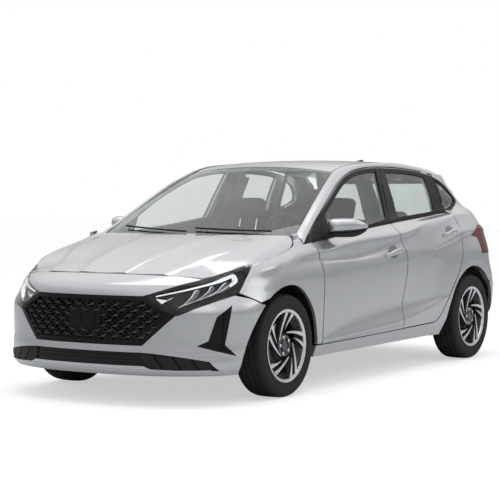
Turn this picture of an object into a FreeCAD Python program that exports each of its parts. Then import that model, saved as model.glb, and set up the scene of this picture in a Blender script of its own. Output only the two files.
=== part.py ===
import FreeCAD, Part
import math
import os

from FreeCAD import Placement, Rotation, Vector

# Hatchback car. +X points forward, +Y to the car's left, +Z up. The origin is on the ground at the
# centre of the bounding box. Every outline below is written in the car's own nominal millimetres and
# passes through along(), across() and upward(), which carry it to the sizes in the sheet.

doc = FreeCAD.newDocument("hatchback")
sheet = doc.addObject("Spreadsheet::Sheet", "sizes")

SIZES = [
    ("overall_length", 4064.0), ("wheelbase", 2580.0), ("front_overhang", 854.5),
    ("body_width", 1775.0), ("roof_height", 1450.0),
    ("front_track", 1539.0), ("rear_track", 1543.0),
    ("tyre_radius", 310.5), ("tyre_width", 195.0), ("rim_radius", 203.0), ("rim_flange", 219.0),
    ("rim_width", 176.0), ("rim_wall", 7.0), ("hub_radius", 66.0), ("spoke_depth", 26.0),
    ("disc_radius", 128.0), ("disc_thickness", 22.0), ("carrier_radius", 24.0),
    ("shut_gap", 6.0), ("glass_seat", 0.4), ("fit_gap", 0.3),
    ("skin_thickness", 20.0), ("door_thickness", 78.0), ("frame_thickness", 34.0),
    ("pillar_inset", 48.0), ("glass_thickness", 4.5), ("glass_depth", 7.0), ("roof_thickness", 14.0),
    ("bonnet_thickness", 24.0), ("tailgate_thickness", 34.0), ("bumper_thickness", 24.0),
    ("lamp_depth", 90.0), ("quarter_thickness", 40.0), ("pillar_depth", 46.0),
    ("liner_thickness", 5.0), ("liner_radius", 374.0), ("grille_pitch", 84.0), ("grille_bar", 9.0),
    ("grille_rim", 16.0), ("spoke_rim_width", 30.0), ("spoke_hub_width", 14.0),
    ("sill_bottom", 205.0), ("floor_level", 250.0), ("floor_thickness", 24.0),
    ("cabin_half_width", 690.0),
    ("engine_length", 460.0), ("engine_width", 760.0), ("engine_tall", 480.0), ("engine_level", 260.0),
    ("seat_width", 500.0), ("seat_offset", 365.0), ("seat_station", -90.0), ("seat_level", 300.0),
    ("steering_wheel_radius", 185.0), ("steering_rim_radius", 15.0), ("column_rake", 24.0),
    ("exhaust_radius", 27.0), ("towing_thread_radius", 8.0),
    ("hinge_pin_radius", 4.0), ("running_gap", 0.05), ("towing_thread_depth", 60.0),
    ("plate_hole_radius", 3.0), ("plate_hole_spacing", 280.0),
]
for row, (alias, number) in enumerate(SIZES, start=1):
    sheet.set("A%d" % row, alias)
    sheet.set("B%d" % row, str(number))
    sheet.setAlias("B%d" % row, alias)
doc.recompute()


def size(alias):
    """Number in the sheet's cell of that alias."""
    return float(sheet.get(alias))


def bind(thing, **properties):
    """Tie properties of a document object to expressions of the sheet."""
    for name, expression in properties.items():
        thing.setExpression(name.replace("__", "."), expression)
    return thing


# Stations of the car as drawn, in nominal millimetres
NOSE_STATION = 2032.0
FRONT_AXLE = 1177.5
REAR_AXLE = -1402.5
TAIL_STATION = -2032.0
DRAWN_WIDTH = 1775.0
DRAWN_HEIGHT = 1450.0
DRAWN_SILL = 205.0

front_axle_x = size("overall_length") / 2 - size("front_overhang")
rear_axle_x = front_axle_x - size("wheelbase")
axle_z = size("tyre_radius")
wall_front_y = size("front_track") / 2
wall_rear_y = size("rear_track") / 2


def along(x):
    """Station x as drawn, carried to the sheet's length, wheelbase and overhang."""
    if x >= FRONT_AXLE:
        return front_axle_x + (x - FRONT_AXLE) * size("front_overhang") / (NOSE_STATION - FRONT_AXLE)
    if x >= REAR_AXLE:
        return front_axle_x + (x - FRONT_AXLE) * size("wheelbase") / (FRONT_AXLE - REAR_AXLE)
    rear_overhang = rear_axle_x + size("overall_length") / 2
    return rear_axle_x + (x - REAR_AXLE) * rear_overhang / (REAR_AXLE - TAIL_STATION)


def across(y):
    return y * size("body_width") / DRAWN_WIDTH


def upward(z):
    """Height z as drawn, carried to the sheet's sill and roof heights."""
    if z <= DRAWN_SILL:
        return z * size("sill_bottom") / DRAWN_SILL
    rise = (size("roof_height") - size("sill_bottom")) / (DRAWN_HEIGHT - DRAWN_SILL)
    return size("sill_bottom") + (z - DRAWN_SILL) * rise


def spot(x, y, z):
    return Vector(along(x), across(y), upward(z))


# Curves of the body

def smooth(points):
    """Monotone cubic through (t, value) points, straight beyond its ends."""
    points = sorted(points)
    ts = [p[0] for p in points]
    vs = [p[1] for p in points]
    steps = [b - a for a, b in zip(ts, ts[1:])]
    slopes = [(vs[i + 1] - vs[i]) / steps[i] for i in range(len(steps))]
    tangents = [slopes[0]]
    for i in range(1, len(slopes)):
        tangents.append(blended(slopes[i - 1], slopes[i], steps[i - 1], steps[i]))
    tangents.append(slopes[-1])

    def value(t):
        if t <= ts[0]:
            return vs[0] + tangents[0] * (t - ts[0])
        if t >= ts[-1]:
            return vs[-1] + tangents[-1] * (t - ts[-1])
        i = max(k for k in range(len(steps)) if ts[k] <= t)
        return hermite((t - ts[i]) / steps[i], steps[i], vs[i], vs[i + 1], tangents[i], tangents[i + 1])

    return value


def blended(before, after, step_before, step_after):
    """Tangent between two slopes, zero at a turning point."""
    if before * after <= 0:
        return 0.0
    w1 = 2 * step_after + step_before
    w2 = step_after + 2 * step_before
    return (w1 + w2) / (w1 / before + w2 / after)


def hermite(u, step, a, b, ta, tb):
    return (a * (1 + 2 * u) * (1 - u) ** 2 + ta * step * u * (1 - u) ** 2
            + b * u * u * (3 - 2 * u) - tb * step * u * u * (1 - u))


# Lines that run along the car's side: name, whether it is a crease, points (station, height, half width)
SIDE_LINES = [
    ("sill", False, [(2050, 200, 850), (1550, 205, 850), (900, 212, 838), (0, 216, 840),
                     (-1000, 222, 838), (-1500, 235, 835), (-2050, 250, 830)]),
    ("door_bottom", True, [(2050, 262, 868), (1550, 268, 868), (850, 280, 862), (400, 288, 862),
                           (-335, 300, 858), (-778, 313, 860), (-1050, 325, 868), (-1500, 335, 872),
                           (-2050, 340, 872)]),
    ("blade", True, [(2050, 330, 880), (1550, 320, 880), (850, 304, 874), (437, 319, 876),
                     (-320, 363, 870), (-700, 420, 872), (-958, 471, 880), (-1300, 520, 886),
                     (-2050, 520, 884)]),
    ("valley", False, [(2050, 400, 882), (1550, 400, 882), (850, 335, 873), (437, 400, 866),
                       (-320, 455, 855), (-700, 475, 860), (-958, 500, 879), (-1300, 560, 886),
                       (-2050, 560, 884)]),
    ("lower_door", False, [(2050, 540, 886), (1550, 560, 886), (850, 540, 878), (0, 560, 867),
                           (-335, 560, 864), (-700, 580, 867), (-1000, 620, 882), (-1400, 640, 887),
                           (-2050, 640, 880)]),
    ("bulge", False, [(2050, 640, 884), (1550, 660, 884), (1177, 700, 882), (775, 690, 879),
                      (0, 690, 874), (-335, 700, 875), (-722, 740, 874), (-1144, 760, 880),
                      (-1400, 770, 884), (-2050, 770, 866)]),
    ("haunch_low", True, [(2050, 700, 878), (1550, 705, 878), (1177, 745, 877), (775, 745, 875),
                          (0, 755, 873), (-335, 770, 875), (-722, 812, 872), (-1144, 866, 866),
                          (-1358, 904, 856), (-2050, 925, 842)]),
    ("haunch_high", True, [(2050, 730, 872), (1550, 735, 870), (1177, 770, 871), (775, 775, 870),
                           (0, 785, 869), (-335, 815, 871), (-722, 822, 872), (-925, 858, 873),
                           (-1346, 938, 862), (-2050, 960, 848)]),
    ("scallop_low", True, [(2050, 745, 866), (1504, 762, 862), (1312, 789, 868), (794, 806, 858),
                           (393, 806, 853), (139, 826, 852), (-236, 880, 853), (-713, 963, 842),
                           (-1098, 1031, 818), (-1400, 1060, 800), (-2050, 1070, 790)]),
    ("scallop_high", False, [(2050, 765, 850), (1504, 785, 854), (1171, 824, 858), (796, 860, 859),
                             (681, 866, 858), (340, 905, 853), (-408, 955, 850), (-713, 1005, 826),
                             (-1098, 1048, 804), (-1400, 1078, 786), (-2050, 1090, 776)]),
    ("belt", False, [(2050, 780, 840), (1504, 803, 850), (1452, 812, 850), (1300, 838, 832),
                     (1107, 874, 822), (1040, 900, 815), (903, 906, 821), (705, 923, 811),
                     (473, 943, 803), (0, 988, 784), (-439, 1021, 770), (-932, 1054, 756),
                     (-1215, 1071, 749), (-1473, 1120, 729), (-2050, 1140, 720)]),
    ("glass_middle", False, [(2050, 1200, 695), (-2050, 1200, 695)]),
    ("glass_top", False, [(2050, 1385, 617), (-2050, 1385, 617)]),
    ("gutter", False, [(2050, 1425, 600), (-2050, 1425, 600)]),
]
RUNS = [(smooth([(p[0], p[1]) for p in points]), smooth([(p[0], p[2]) for p in points]), crease)
        for _, crease, points in SIDE_LINES]


def side_width(x, z):
    """Half width of the straight side at a station and height, before the ends round off."""
    heights = [run[0](x) for run in RUNS]
    widths = [run[1](x) for run in RUNS]
    steps = [b - a for a, b in zip(heights, heights[1:])]
    slopes = [(widths[i + 1] - widths[i]) / steps[i] for i in range(len(steps))]
    if z <= heights[0]:
        return widths[0] + slopes[0] * (z - heights[0])
    if z >= heights[-1]:
        return widths[-1] + slopes[-1] * (z - heights[-1])
    i = max(k for k in range(len(steps)) if heights[k] <= z)
    above = slopes[i]
    below = slopes[i]
    if i > 0 and not RUNS[i][2]:
        above = blended(slopes[i - 1], slopes[i], steps[i - 1], steps[i])
    if i < len(steps) - 1 and not RUNS[i + 1][2]:
        below = blended(slopes[i], slopes[i + 1], steps[i], steps[i + 1])
    return hermite((z - heights[i]) / steps[i], steps[i], widths[i], widths[i + 1], above, below)


# Profiles on the centre line: height against station, and how long each end's rounding is
nose_x = smooth([(180, 2005), (220, 2028), (315, 2032), (355, 2028), (450, 2022), (540, 2017),
                 (640, 2012), (672, 2005), (700, 1987), (735, 1915), (757, 1850), (812, 1703),
                 (880, 1450), (932, 1200), (972, 950)])
nose_round = smooth([(180, 560), (220, 560), (315, 630), (355, 640), (540, 630), (575, 660),
                     (640, 790), (672, 830), (700, 830), (735, 730), (757, 620), (790, 500),
                     (812, 450), (850, 400), (880, 430), (910, 450), (940, 400)])
tail_x = smooth([(240, -1920), (270, -1945), (320, -1992), (400, -2025), (500, -2032), (600, -2010),
                 (700, -1970), (820, -1952), (930, -1925), (977, -1880), (1050, -1850), (1300, -1650),
                 (1345, -1640)])
WING_TOP = 906.0
TAIL_ROUND = 420.0
NOSE_POWER = 2.4
TAIL_POWER = 3.0
roof_crown = smooth([(165, 1398), (-20, 1425), (-200, 1441), (-400, 1448), (-600, 1450), (-900, 1446),
                     (-1200, 1432), (-1400, 1412), (-1560, 1388), (-1660, 1362)])
roof_edge = smooth([(124, 1356), (0, 1390), (-150, 1412), (-305, 1422), (-486, 1427), (-729, 1425),
                    (-973, 1413), (-1219, 1389), (-1400, 1362), (-1660, 1325)])
ROOF_HALF = 566.0
bonnet_crown = smooth([(950, 972), (1200, 932), (1450, 880), (1703, 812), (1850, 757), (1915, 735)])
bonnet_fall = smooth([(950, 5), (1098, 29), (1227, 37), (1360, 40), (1484, 50), (1537, 63),
                      (1608, 90), (1668, 100), (1805, 85), (1900, 80)])


def end_factor(x, z):
    """Share of the side's half width that is left where the nose and the tail round off."""
    level = min(z, WING_TOP)
    reach = nose_round(level)
    front = min(max((x - nose_x(level) + reach) / reach, 0.0), 1.0)
    rear = min(max((tail_x(z) + TAIL_ROUND - x) / TAIL_ROUND, 0.0), 1.0)
    nose = (1 - front ** NOSE_POWER) ** (1 / NOSE_POWER)
    return nose * (1 - rear ** TAIL_POWER) ** (1 / TAIL_POWER)


def skin(x, z):
    return side_width(x, z) * end_factor(x, z)


def rounded_end(angle, z, end, reach, power, sign):
    """Point on the rounding at a height, at a bearing from the middle of the rounding."""
    c = math.cos(angle)
    s = abs(math.sin(angle))
    width = side_width(end - sign * reach / 2, z)
    for _ in range(3):
        radius = 1 / ((c / reach) ** power + (s / width) ** power) ** (1 / power)
        x = end - sign * (reach - radius * c)
        width = side_width(x, z)
    return x, math.copysign(radius * s, angle), z


def nose_point(angle, z):
    return rounded_end(angle, z, nose_x(z), nose_round(z), NOSE_POWER, 1)


def tail_point(angle, z):
    return rounded_end(angle, z, tail_x(z), TAIL_ROUND, TAIL_POWER, -1)


def bonnet_height(x, y):
    roll = max(0.0, (abs(y) - 735) / 65)
    return bonnet_crown(x) - bonnet_fall(x) * (abs(y) / 770) ** 2.2 - 30 * roll * roll


def roof_height_at(x, y):
    return roof_crown(x) - (roof_crown(x) - roof_edge(x)) * (abs(y) / ROOF_HALF) ** 2.2


# Building solids

def spread(start, stop, count):
    return [start + (stop - start) * i / (count - 1) for i in range(count)]


def spline_surface(grid):
    surface = Part.BSplineSurface()
    surface.interpolate(grid)
    return surface


def edges_of(surface):
    u0, u1, v0, v1 = surface.bounds()
    return [surface.uIso(u0).toShape(), surface.uIso(u1).toShape(),
            surface.vIso(v0).toShape(), surface.vIso(v1).toShape()]


def between(outer, inner):
    """Solid between two like grids of points."""
    near = spline_surface(outer)
    far = spline_surface(inner)
    faces = [near.toShape(), far.toShape()]
    for a, b in zip(edges_of(near), edges_of(far)):
        faces.append(Part.makeRuledSurface(a, b))
    shell = Part.Shell(faces)
    shell.sewShape()
    solid = Part.Solid(shell)
    if solid.Volume < 0:
        solid.reverse()
    return solid


def normals(grid, towards):
    """Unit normals of a grid, on the side of the direction that towards(point) gives."""
    rows = []
    for i in range(len(grid)):
        row = []
        for j in range(len(grid[i])):
            du = grid[min(i + 1, len(grid) - 1)][j] - grid[max(i - 1, 0)][j]
            dv = grid[i][min(j + 1, len(grid[i]) - 1)] - grid[i][max(j - 1, 0)]
            normal = du.cross(dv)
            normal.normalize()
            if normal.dot(towards(grid[i][j])) < 0:
                normal = -normal
            row.append(normal)
        rows.append(row)
    return rows


def shelled(grid, towards, outside, inside):
    """Solid of a wall that starts outside mm under the grid and ends inside mm under it."""
    facing = normals(grid, towards)
    outer = [[p - n * outside for p, n in zip(r, m)] for r, m in zip(grid, facing)]
    inner = [[p - n * inside for p, n in zip(r, m)] for r, m in zip(grid, facing)]
    return between(outer, inner)


def outline(runs, place):
    """Closed wire of runs of points: two points are a line, more are a spline."""
    edges = []
    for points in runs:
        ends = [place(*p) for p in points]
        if len(ends) == 2:
            edges.append(Part.LineSegment(ends[0], ends[1]).toShape())
        else:
            curve = Part.BSplineCurve()
            curve.interpolate(ends)
            edges.append(curve.toShape())
    return Part.Wire(edges)


def on_side(x, z):
    return Vector(along(x), 0, upward(z))


def on_plan(x, y):
    return Vector(along(x), across(y), 0)


def on_front(y, z):
    return Vector(0, across(y), upward(z))


def prism(runs, place, direction, start, stop, grow=0.0):
    """Solid swept from an outline along a direction; grow widens the outline all round."""
    face = Part.Face(outline(runs, place))
    if grow:
        face = face.makeOffset2D(grow, 0, False, False, True).toNurbs().Faces[0]
    face.translate(direction * start)
    return face.extrude(direction * (stop - start))


LEFT = Vector(0, 1, 0)
AHEAD = Vector(1, 0, 0)
UP = Vector(0, 0, 1)
FAR = 1200.0


def side_prism(runs, grow=0.0):
    return prism(runs, on_side, LEFT, 0, FAR, grow)


def closed(points):
    """Runs of straight lines round a list of points."""
    return [[a, b] for a, b in zip(points, points[1:] + points[:1])]


def mirrored(shape):
    return shape.mirror(Vector(0, 0, 0), LEFT)


def both(shape):
    return Part.makeCompound([shape, mirrored(shape)])


def block(x0, x1, y0, y1, z0, z1):
    return Part.makeBox(x1 - x0, y1 - y0, z1 - z0, Vector(x0, y0, z0))


def rod(start, stop, radius):
    line = stop - start
    return Part.makeCylinder(radius, line.Length, start, line)


def biggest(shape):
    """Solids of a boolean's result, without crumbs."""
    solids = [s for s in shape.Solids if s.Volume > 1000.0]
    return solids[0] if len(solids) == 1 else Part.makeCompound(solids)


def main_solid(shape):
    """Largest solid of a boolean's result."""
    return max(shape.Solids, key=lambda s: s.Volume)


NODES = []


def node(name, shape):
    """Named sub-part whose shape is worked out from the sheet's sizes."""
    thing = doc.addObject("Part::Feature", name)
    thing.Label = name
    thing.Shape = shape
    NODES.append(thing)
    return thing


# Side of the body

SLAB_BOTTOM = 120.0
QUARTER_START = -740.0
QUARTER_LEVELS = [215, 270, 330, 420, 520, 600, 680, 760, 820, 866, 904, 938, 985, 1035, 1065, 1120,
                  1200, 1290, 1385, 1430]


def side_slab(x0, x1, outside, inside, columns=36):
    """Wall under the car's side from one station to another; inside(x, z) is its inner depth."""
    outer = []
    inner = []
    for x in spread(x0, x1, columns):
        heights = [SLAB_BOTTOM] + [run[0](x) for run in RUNS]
        levels = [heights[0]]
        for a, b in zip(heights[1:], heights[2:]):
            levels += [a, (a + b) / 2]
        levels.append(heights[-1])
        outer.append([spot(x, skin(x, z), z) - LEFT * outside for z in levels])
        inner.append([spot(x, skin(x, z), z) - LEFT * inside(x, z) for z in levels])
    return between(outer, inner)


def quarter_slab(outside, inside):
    """Wall under the rear quarter, which ends short of the rounded tail at every height."""
    outer = []
    inner = []
    for t in spread(0.0, 1.0, 30):
        levels = []
        for a, b in zip([SLAB_BOTTOM] + QUARTER_LEVELS, QUARTER_LEVELS):
            levels += [a, (a + b) / 2] if a > SLAB_BOTTOM else [a]
        levels.append(QUARTER_LEVELS[-1])
        row = []
        for z in levels:
            stop = tail_x(z) + 0.2 * TAIL_ROUND
            x = QUARTER_START + (stop - QUARTER_START) * t
            row.append(spot(x, skin(x, z), z))
        outer.append([p - LEFT * outside for p in row])
        inner.append([p - LEFT * inside for p in row])
    return between(outer, inner)


def depth_of_door(x, z):
    """A door is deep below the belt and thin round its glass."""
    belt = RUNS[10][0](x)
    share = min(max((z - belt + 60) / 60, 0.0), 1.0)
    share = share * share * (3 - 2 * share)
    return size("door_thickness") * (1 - share) + size("frame_thickness") * share


FRONT_DOOR = [
    [(799, 930), (790, 860), (772, 790), (757, 720), (757, 600), (762, 400), (772, 288)],
    [(772, 288), (428, 291), (-336, 303)],
    [(-336, 303), (-316, 447), (-346, 629), (-353, 805), (-318, 880), (-296, 928), (-300, 1000)],
    [(-300, 1000), (-404, 1391)],
    [(-404, 1391), (-305, 1389), (-144, 1377), (12, 1350), (191, 1289), (498, 1129), (787, 971)],
    [(787, 971), (799, 930)],
]
FRONT_WINDOW = [
    [(700, 936), (498, 1098), (191, 1258), (12, 1322), (-144, 1351), (-305, 1364), (-370, 1366)],
    [(-370, 1366), (-276, 1036)],
    [(-276, 1036), (0, 1004), (473, 960), (700, 936)],
]
REAR_DOOR = [
    [(-344, 304), (-324, 447), (-354, 629), (-361, 805), (-326, 880), (-304, 928), (-308, 1000)],
    [(-308, 1000), (-418, 1392)],
    [(-418, 1392), (-486, 1393), (-729, 1388), (-973, 1373), (-1190, 1343)],
    [(-1190, 1343), (-1208, 1081)],
    [(-1208, 1081), (-1226, 1000), (-1236, 900), (-1215, 770), (-1139, 640), (-1040, 535), (-944, 424),
     (-860, 340), (-778, 313)],
    [(-778, 313), (-344, 304)],
]
REAR_WINDOW = [
    [(-450, 1046), (-486, 1364)],
    [(-486, 1364), (-729, 1363), (-973, 1349), (-1070, 1336)],
    [(-1070, 1336), (-1062, 1086)],
    [(-1062, 1086), (-932, 1075), (-700, 1060), (-450, 1046)],
]
QUARTER_WINDOW = [
    [(-1216, 1320), (-1228, 1092)],
    [(-1228, 1092), (-1355, 1118), (-1440, 1158)],
    [(-1440, 1158), (-1428, 1196), (-1350, 1266), (-1216, 1320)],
]
FRONT_ARCH = [(1640, 150), (1643, 210), (1612, 330), (1557, 440), (1458, 560), (1346, 633), (1230, 670),
              (1153, 675), (1047, 651), (952, 583), (872, 473), (846, 387), (836, 303), (838, 230),
              (838, 150)]
REAR_ARCH = [(-905, 150), (-921, 226), (-985, 340), (-1056, 487), (-1125, 574), (-1218, 640), (-1313, 676),
             (-1409, 684), (-1506, 665), (-1596, 618), (-1674, 546), (-1731, 455), (-1758, 371),
             (-1764, 290), (-1768, 150)]


def arch_prism(points, grow=0.0):
    runs = [points[:2], points[1:-1], points[-2:], [points[-1], points[0]]]
    return side_prism(runs, grow)


gap = size("shut_gap")
skin_depth = size("skin_thickness")


def door(outer, window):
    """Door: an outer skin to the shut line and an inner panel set in from it, window cut."""
    slab = side_slab(900, -1300, 0.0, lambda x, z: skin_depth)
    panel = slab.common(side_prism(outer))
    deep = side_slab(900, -1300, skin_depth - 2, depth_of_door)
    inner = deep.common(side_prism(outer, -16.0))
    return main_solid(panel.fuse(inner).cut(side_prism(window)))


def pane(window, shrink=0.0):
    """Sheet of glass seated in its window."""
    start = size("glass_depth")
    slab = side_slab(900, -1500, start, lambda x, z: start + size("glass_thickness"))
    return biggest(slab.common(side_prism(window, -size("glass_seat") - shrink)))


FRONT_HINGE = (707.0, 862.0)
FRONT_HINGE_LEVELS = (460.0, 720.0)
REAR_HINGE = (-404.0, 858.0)
REAR_HINGE_LEVELS = (640.0, 800.0)
pin_radius = size("hinge_pin_radius")
bore_radius = pin_radius + size("running_gap")


def hinge_pocket(line, level):
    """Room in a door for the body's hinge arm, with the bore for its pin."""
    pivot = spot(line[0], line[1], level)
    room = Part.makeCylinder(10.0, 40, pivot - UP * 20)
    sweep = block(pivot.x - 13, pivot.x + 70, pivot.y - 100, pivot.y - 2, pivot.z - 20, pivot.z + 20)
    return room.fuse([sweep, Part.makeCylinder(bore_radius, 68, pivot - UP * 34)])


def hinge_arm(line, level, reach):
    """Arm on the body that reaches into the door, with its pin."""
    pivot = spot(line[0], line[1], level)
    ear = Part.makeCylinder(6.5, 32, pivot - UP * 16)
    arm = block(pivot.x - 6.5, pivot.x, pivot.y - reach, pivot.y, pivot.z - 16, pivot.z + 16)
    return ear.fuse([arm, Part.makeCylinder(pin_radius, 64, pivot - UP * 32)])


front_door = door(FRONT_DOOR, FRONT_WINDOW)
front_door = main_solid(front_door.cut([hinge_pocket(FRONT_HINGE, z) for z in FRONT_HINGE_LEVELS]))
rear_door = door(REAR_DOOR, REAR_WINDOW)
rear_door = main_solid(rear_door.cut([hinge_pocket(REAR_HINGE, z) for z in REAR_HINGE_LEVELS]))
node("door_front_left", front_door)
node("door_front_right", mirrored(front_door))
node("door_rear_left", rear_door)
node("door_rear_right", mirrored(rear_door))
front_pane = pane(FRONT_WINDOW)
rear_pane = pane(REAR_WINDOW)
node("window_front_left", front_pane)
node("window_front_right", mirrored(front_pane))
node("window_rear_left", rear_pane)
node("window_rear_right", mirrored(rear_pane))
node("quarter_windows", both(pane(QUARTER_WINDOW)))

# Pillar and cantrail band: (point on the door opening), (point on the screen, roof or tailgate edge)
BAND = [
    ((905, 912), (890, 742, 955)), ((790, 979), (805, 722, 1003)), ((654, 1055), (700, 700, 1062)),
    ((502, 1138), (560, 671, 1143)), ((345, 1223), (415, 641, 1225)), ((194, 1298), (270, 608, 1300)),
    ((103, 1332), (190, 588, 1334)), ((14, 1359), (116, 572, 1364)), ((-143, 1386), (-60, 567, 1404)),
    ((-305, 1398), (-250, 566, 1420)), ((-486, 1402), (-470, 566, 1427)), ((-729, 1397), (-729, 566, 1425)),
    ((-974, 1382), (-973, 566, 1413)), ((-1216, 1350), (-1230, 564, 1387)), ((-1330, 1310), (-1370, 560, 1362)),
    ((-1430, 1242), (-1470, 565, 1318)), ((-1485, 1182), (-1545, 585, 1262)),
]
SCREEN_LEAN = Vector(0.62, 0.12, 0.78)
ROOF_LEAN = Vector(0.0, 0.05, 1.0)
TAIL_LEAN = Vector(-0.62, 0.12, 0.75)
FIRST_ROOF_STATION = 8
LAST_ROOF_STATION = 13


def band_solid():
    """Windscreen pillar, cantrail and rear pillar top, as one curved beam."""
    rows_out = []
    rows_in = []
    depth = size("pillar_depth")
    for i, (low, high) in enumerate(BAND):
        a = Vector(low[0], skin(*low), low[1])
        b = Vector(*high)
        lean = ROOF_LEAN
        if i < FIRST_ROOF_STATION:
            lean = SCREEN_LEAN
        if i > LAST_ROOF_STATION:
            lean = TAIL_LEAN
        a_in = a - LEFT * depth
        b_in = b - lean * (depth * 0.9) - LEFT * 2
        out = []
        inn = []
        for w in (0.0, 0.25, 0.5, 0.75, 1.0):
            bulge = 4 * w * (1 - w)
            p = a * (1 - w) + b * w + Vector(0, 9, 9) * bulge
            q = a_in * (1 - w) + b_in * w
            out.append(spot(p.x, p.y, p.z))
            inn.append(spot(q.x, q.y, q.z))
        rows_out.append(out)
        rows_in.append(inn)
    return between(rows_out, rows_in)


QUARTER = [
    [(-1204, 1348), (-1218, 1081)],
    [(-1218, 1081), (-1234, 1000), (-1244, 900), (-1223, 766), (-1146, 634), (-1048, 529), (-952, 418),
     (-866, 334), (-780, 306)],
    [(-780, 306), (-780, 215)],
    [(-780, 215), (-1630, 215)],
    [(-1630, 215), (-1630, 567)],
    [(-1630, 567), (-1690, 562)],
    [(-1690, 562), (-1747, 690)],
    [(-1747, 690), (-1752, 760)],
    [(-1752, 760), (-1700, 960)],
    [(-1700, 960), (-1585, 1200)],
    [(-1585, 1200), (-1500, 1290)],
    [(-1500, 1290), (-1380, 1350)],
    [(-1380, 1350), (-1204, 1348)],
]
SILL_TOP = [(920, 282), (772, 282), (428, 285), (-336, 297), (-810, 306)]
sill_top = smooth(SILL_TOP)


def body_side():
    """Side of the body shell: pillars, cantrail, sill and rear quarter, joined."""
    slab = quarter_slab(0.0, size("quarter_thickness"))
    quarter = slab.common(side_prism(QUARTER)).cut(arch_prism(REAR_ARCH)).cut(side_prism(QUARTER_WINDOW))
    rows_out = []
    rows_in = []
    for x in spread(905, -800, 30):
        bottom = RUNS[0][0](x)
        levels = spread(bottom, sill_top(x), 6)
        rows_out.append([spot(x, skin(x, z), z) for z in levels])
        rows_in.append([Vector(along(x), across(size("cabin_half_width")), upward(z)) for z in levels])
    sill = between(rows_out, rows_in).cut(arch_prism(FRONT_ARCH))
    return quarter, sill


quarter, sill = body_side()
band = band_solid()
TAIL_LAMP = closed([(-1470, 900), (-1590, 982), (-1900, 940), (-1990, 800), (-1760, 765), (-1745, 800),
                    (-1640, 905)])
tail_lamp_cut = side_prism(TAIL_LAMP)
b_pillar_slab = side_slab(-200, -560, size("door_thickness") + size("pillar_inset"),
                          lambda x, z: size("door_thickness") + size("pillar_inset") + 38, columns=12)
B_PILLAR = closed([(-240, 320), (-250, 900), (-330, 1330), (-480, 1330), (-450, 900), (-430, 320)])
b_pillar = b_pillar_slab.common(side_prism(B_PILLAR))
# Room for the front edge of the rear door as it swings inwards at the belt
b_pillar = b_pillar.cut(Part.makeCylinder(150.0, upward(1015) - upward(880), spot(*REAR_HINGE, 880)))
quarter = quarter.cut(tail_lamp_cut)
side_parts = [quarter, sill, band, b_pillar]
foot = block(along(-430), along(-240), across(690), across(745), upward(270), upward(335))
post_face = front_axle_x - size("liner_radius") - size("liner_thickness")
hinge_post = block(along(735), post_face, across(size("cabin_half_width")), across(745), upward(260), upward(850))
arms = [hinge_arm(REAR_HINGE, z, 124) for z in REAR_HINGE_LEVELS]
for z in FRONT_HINGE_LEVELS:
    pivot = spot(FRONT_HINGE[0], FRONT_HINGE[1], z)
    arms.append(hinge_arm(FRONT_HINGE, z, 78))
    arms.append(block(pivot.x - 6.5, post_face, pivot.y - 78, pivot.y - 64, pivot.z - 16, pivot.z + 16))
    arms.append(block(along(762), post_face, across(740), pivot.y - 64, pivot.z - 16, pivot.z + 16))
screen_post = block(along(770), along(850), across(size("cabin_half_width")), across(745), upward(830), upward(965))
head = block(along(-462), along(-348), across(500), across(572), upward(1300), upward(1402))
shell_side = quarter.fuse([sill, band, b_pillar, foot, head, hinge_post, screen_post] + arms)
pads = [block(along(x) - 30, along(x) + 30, across(715), across(745), upward(198), upward(222))
        for x in (620, -690)]
shell_side = main_solid(shell_side.fuse(pads))

# Roof and glass

ROOF = [
    [(158, 0), (150, 280), (117, 560)],
    [(117, 560), (-1285, 560)],
    [(-1285, 560), (-1322, 280), (-1330, 0)],
    [(-1330, 0), (-1322, -280), (-1285, -560)],
    [(-1285, -560), (117, -560)],
    [(117, -560), (150, -280), (158, 0)],
]


def plan_field(height, x0, x1, half, columns, rows):
    """Grid of points z = height(x, y) over a rectangle on plan."""
    return [[spot(x, y, height(x, y)) for y in spread(-half, half, rows)] for x in spread(x0, x1, columns)]


def upwards(point):
    return UP


roof_grid = plan_field(roof_height_at, 200, -1360, 580, 26, 15)
roof_slab = shelled(roof_grid, upwards, 0.0, size("roof_thickness"))
node("roof_panel", main_solid(roof_slab.common(prism(ROOF, on_plan, UP, 0, 2000))))


def roof_bow(x0, x1):
    """Cross member that follows the roof just under it, from one side of the shell to the other."""
    start = size("roof_thickness") + 2 * size("fit_gap")
    return shelled(plan_field(roof_height_at, x0, x1, 574, 4, 15), upwards, start, start + 22.0)


GATE_HINGE = (-1270.0, 1390.0)
GATE_ARM = 300.0
gate_pivot = spot(GATE_HINGE[0], 0, GATE_HINGE[1])
lugs = []
for y in (GATE_ARM - 16, GATE_ARM + 16, -GATE_ARM - 16, -GATE_ARM + 16):
    lugs.append(block(gate_pivot.x - 9, along(-1217), y - 4, y + 4, gate_pivot.z - 34, gate_pivot.z - 8))
    lugs.append(block(gate_pivot.x - 9, gate_pivot.x + 9, y - 4, y + 4, gate_pivot.z - 34, gate_pivot.z + 6))
    lugs.append(block(along(-1253), along(-1217), y - 4, y + 4, gate_pivot.z - 34, gate_pivot.z - 2))
pins = [rod(Vector(gate_pivot.x, y - 20, gate_pivot.z), Vector(gate_pivot.x, y + 20, gate_pivot.z), pin_radius)
        for y in (-GATE_ARM, GATE_ARM)]
rear_bow = roof_bow(-1256, -1214).fuse(lugs + pins)
shell = shell_side.fuse([mirrored(shell_side), roof_bow(60, 106), roof_bow(-462, -348), rear_bow])
node("body_sides", biggest(shell))


def bowed(edge, centre, u):
    """Point of a panel bowed between its middle and its edge."""
    drop = abs(u) ** 2.3
    return Vector(centre[0] + (edge[0] - centre[0]) * drop, edge[1] * u,
                  centre[1] + (edge[2] - centre[1]) * drop)


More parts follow.
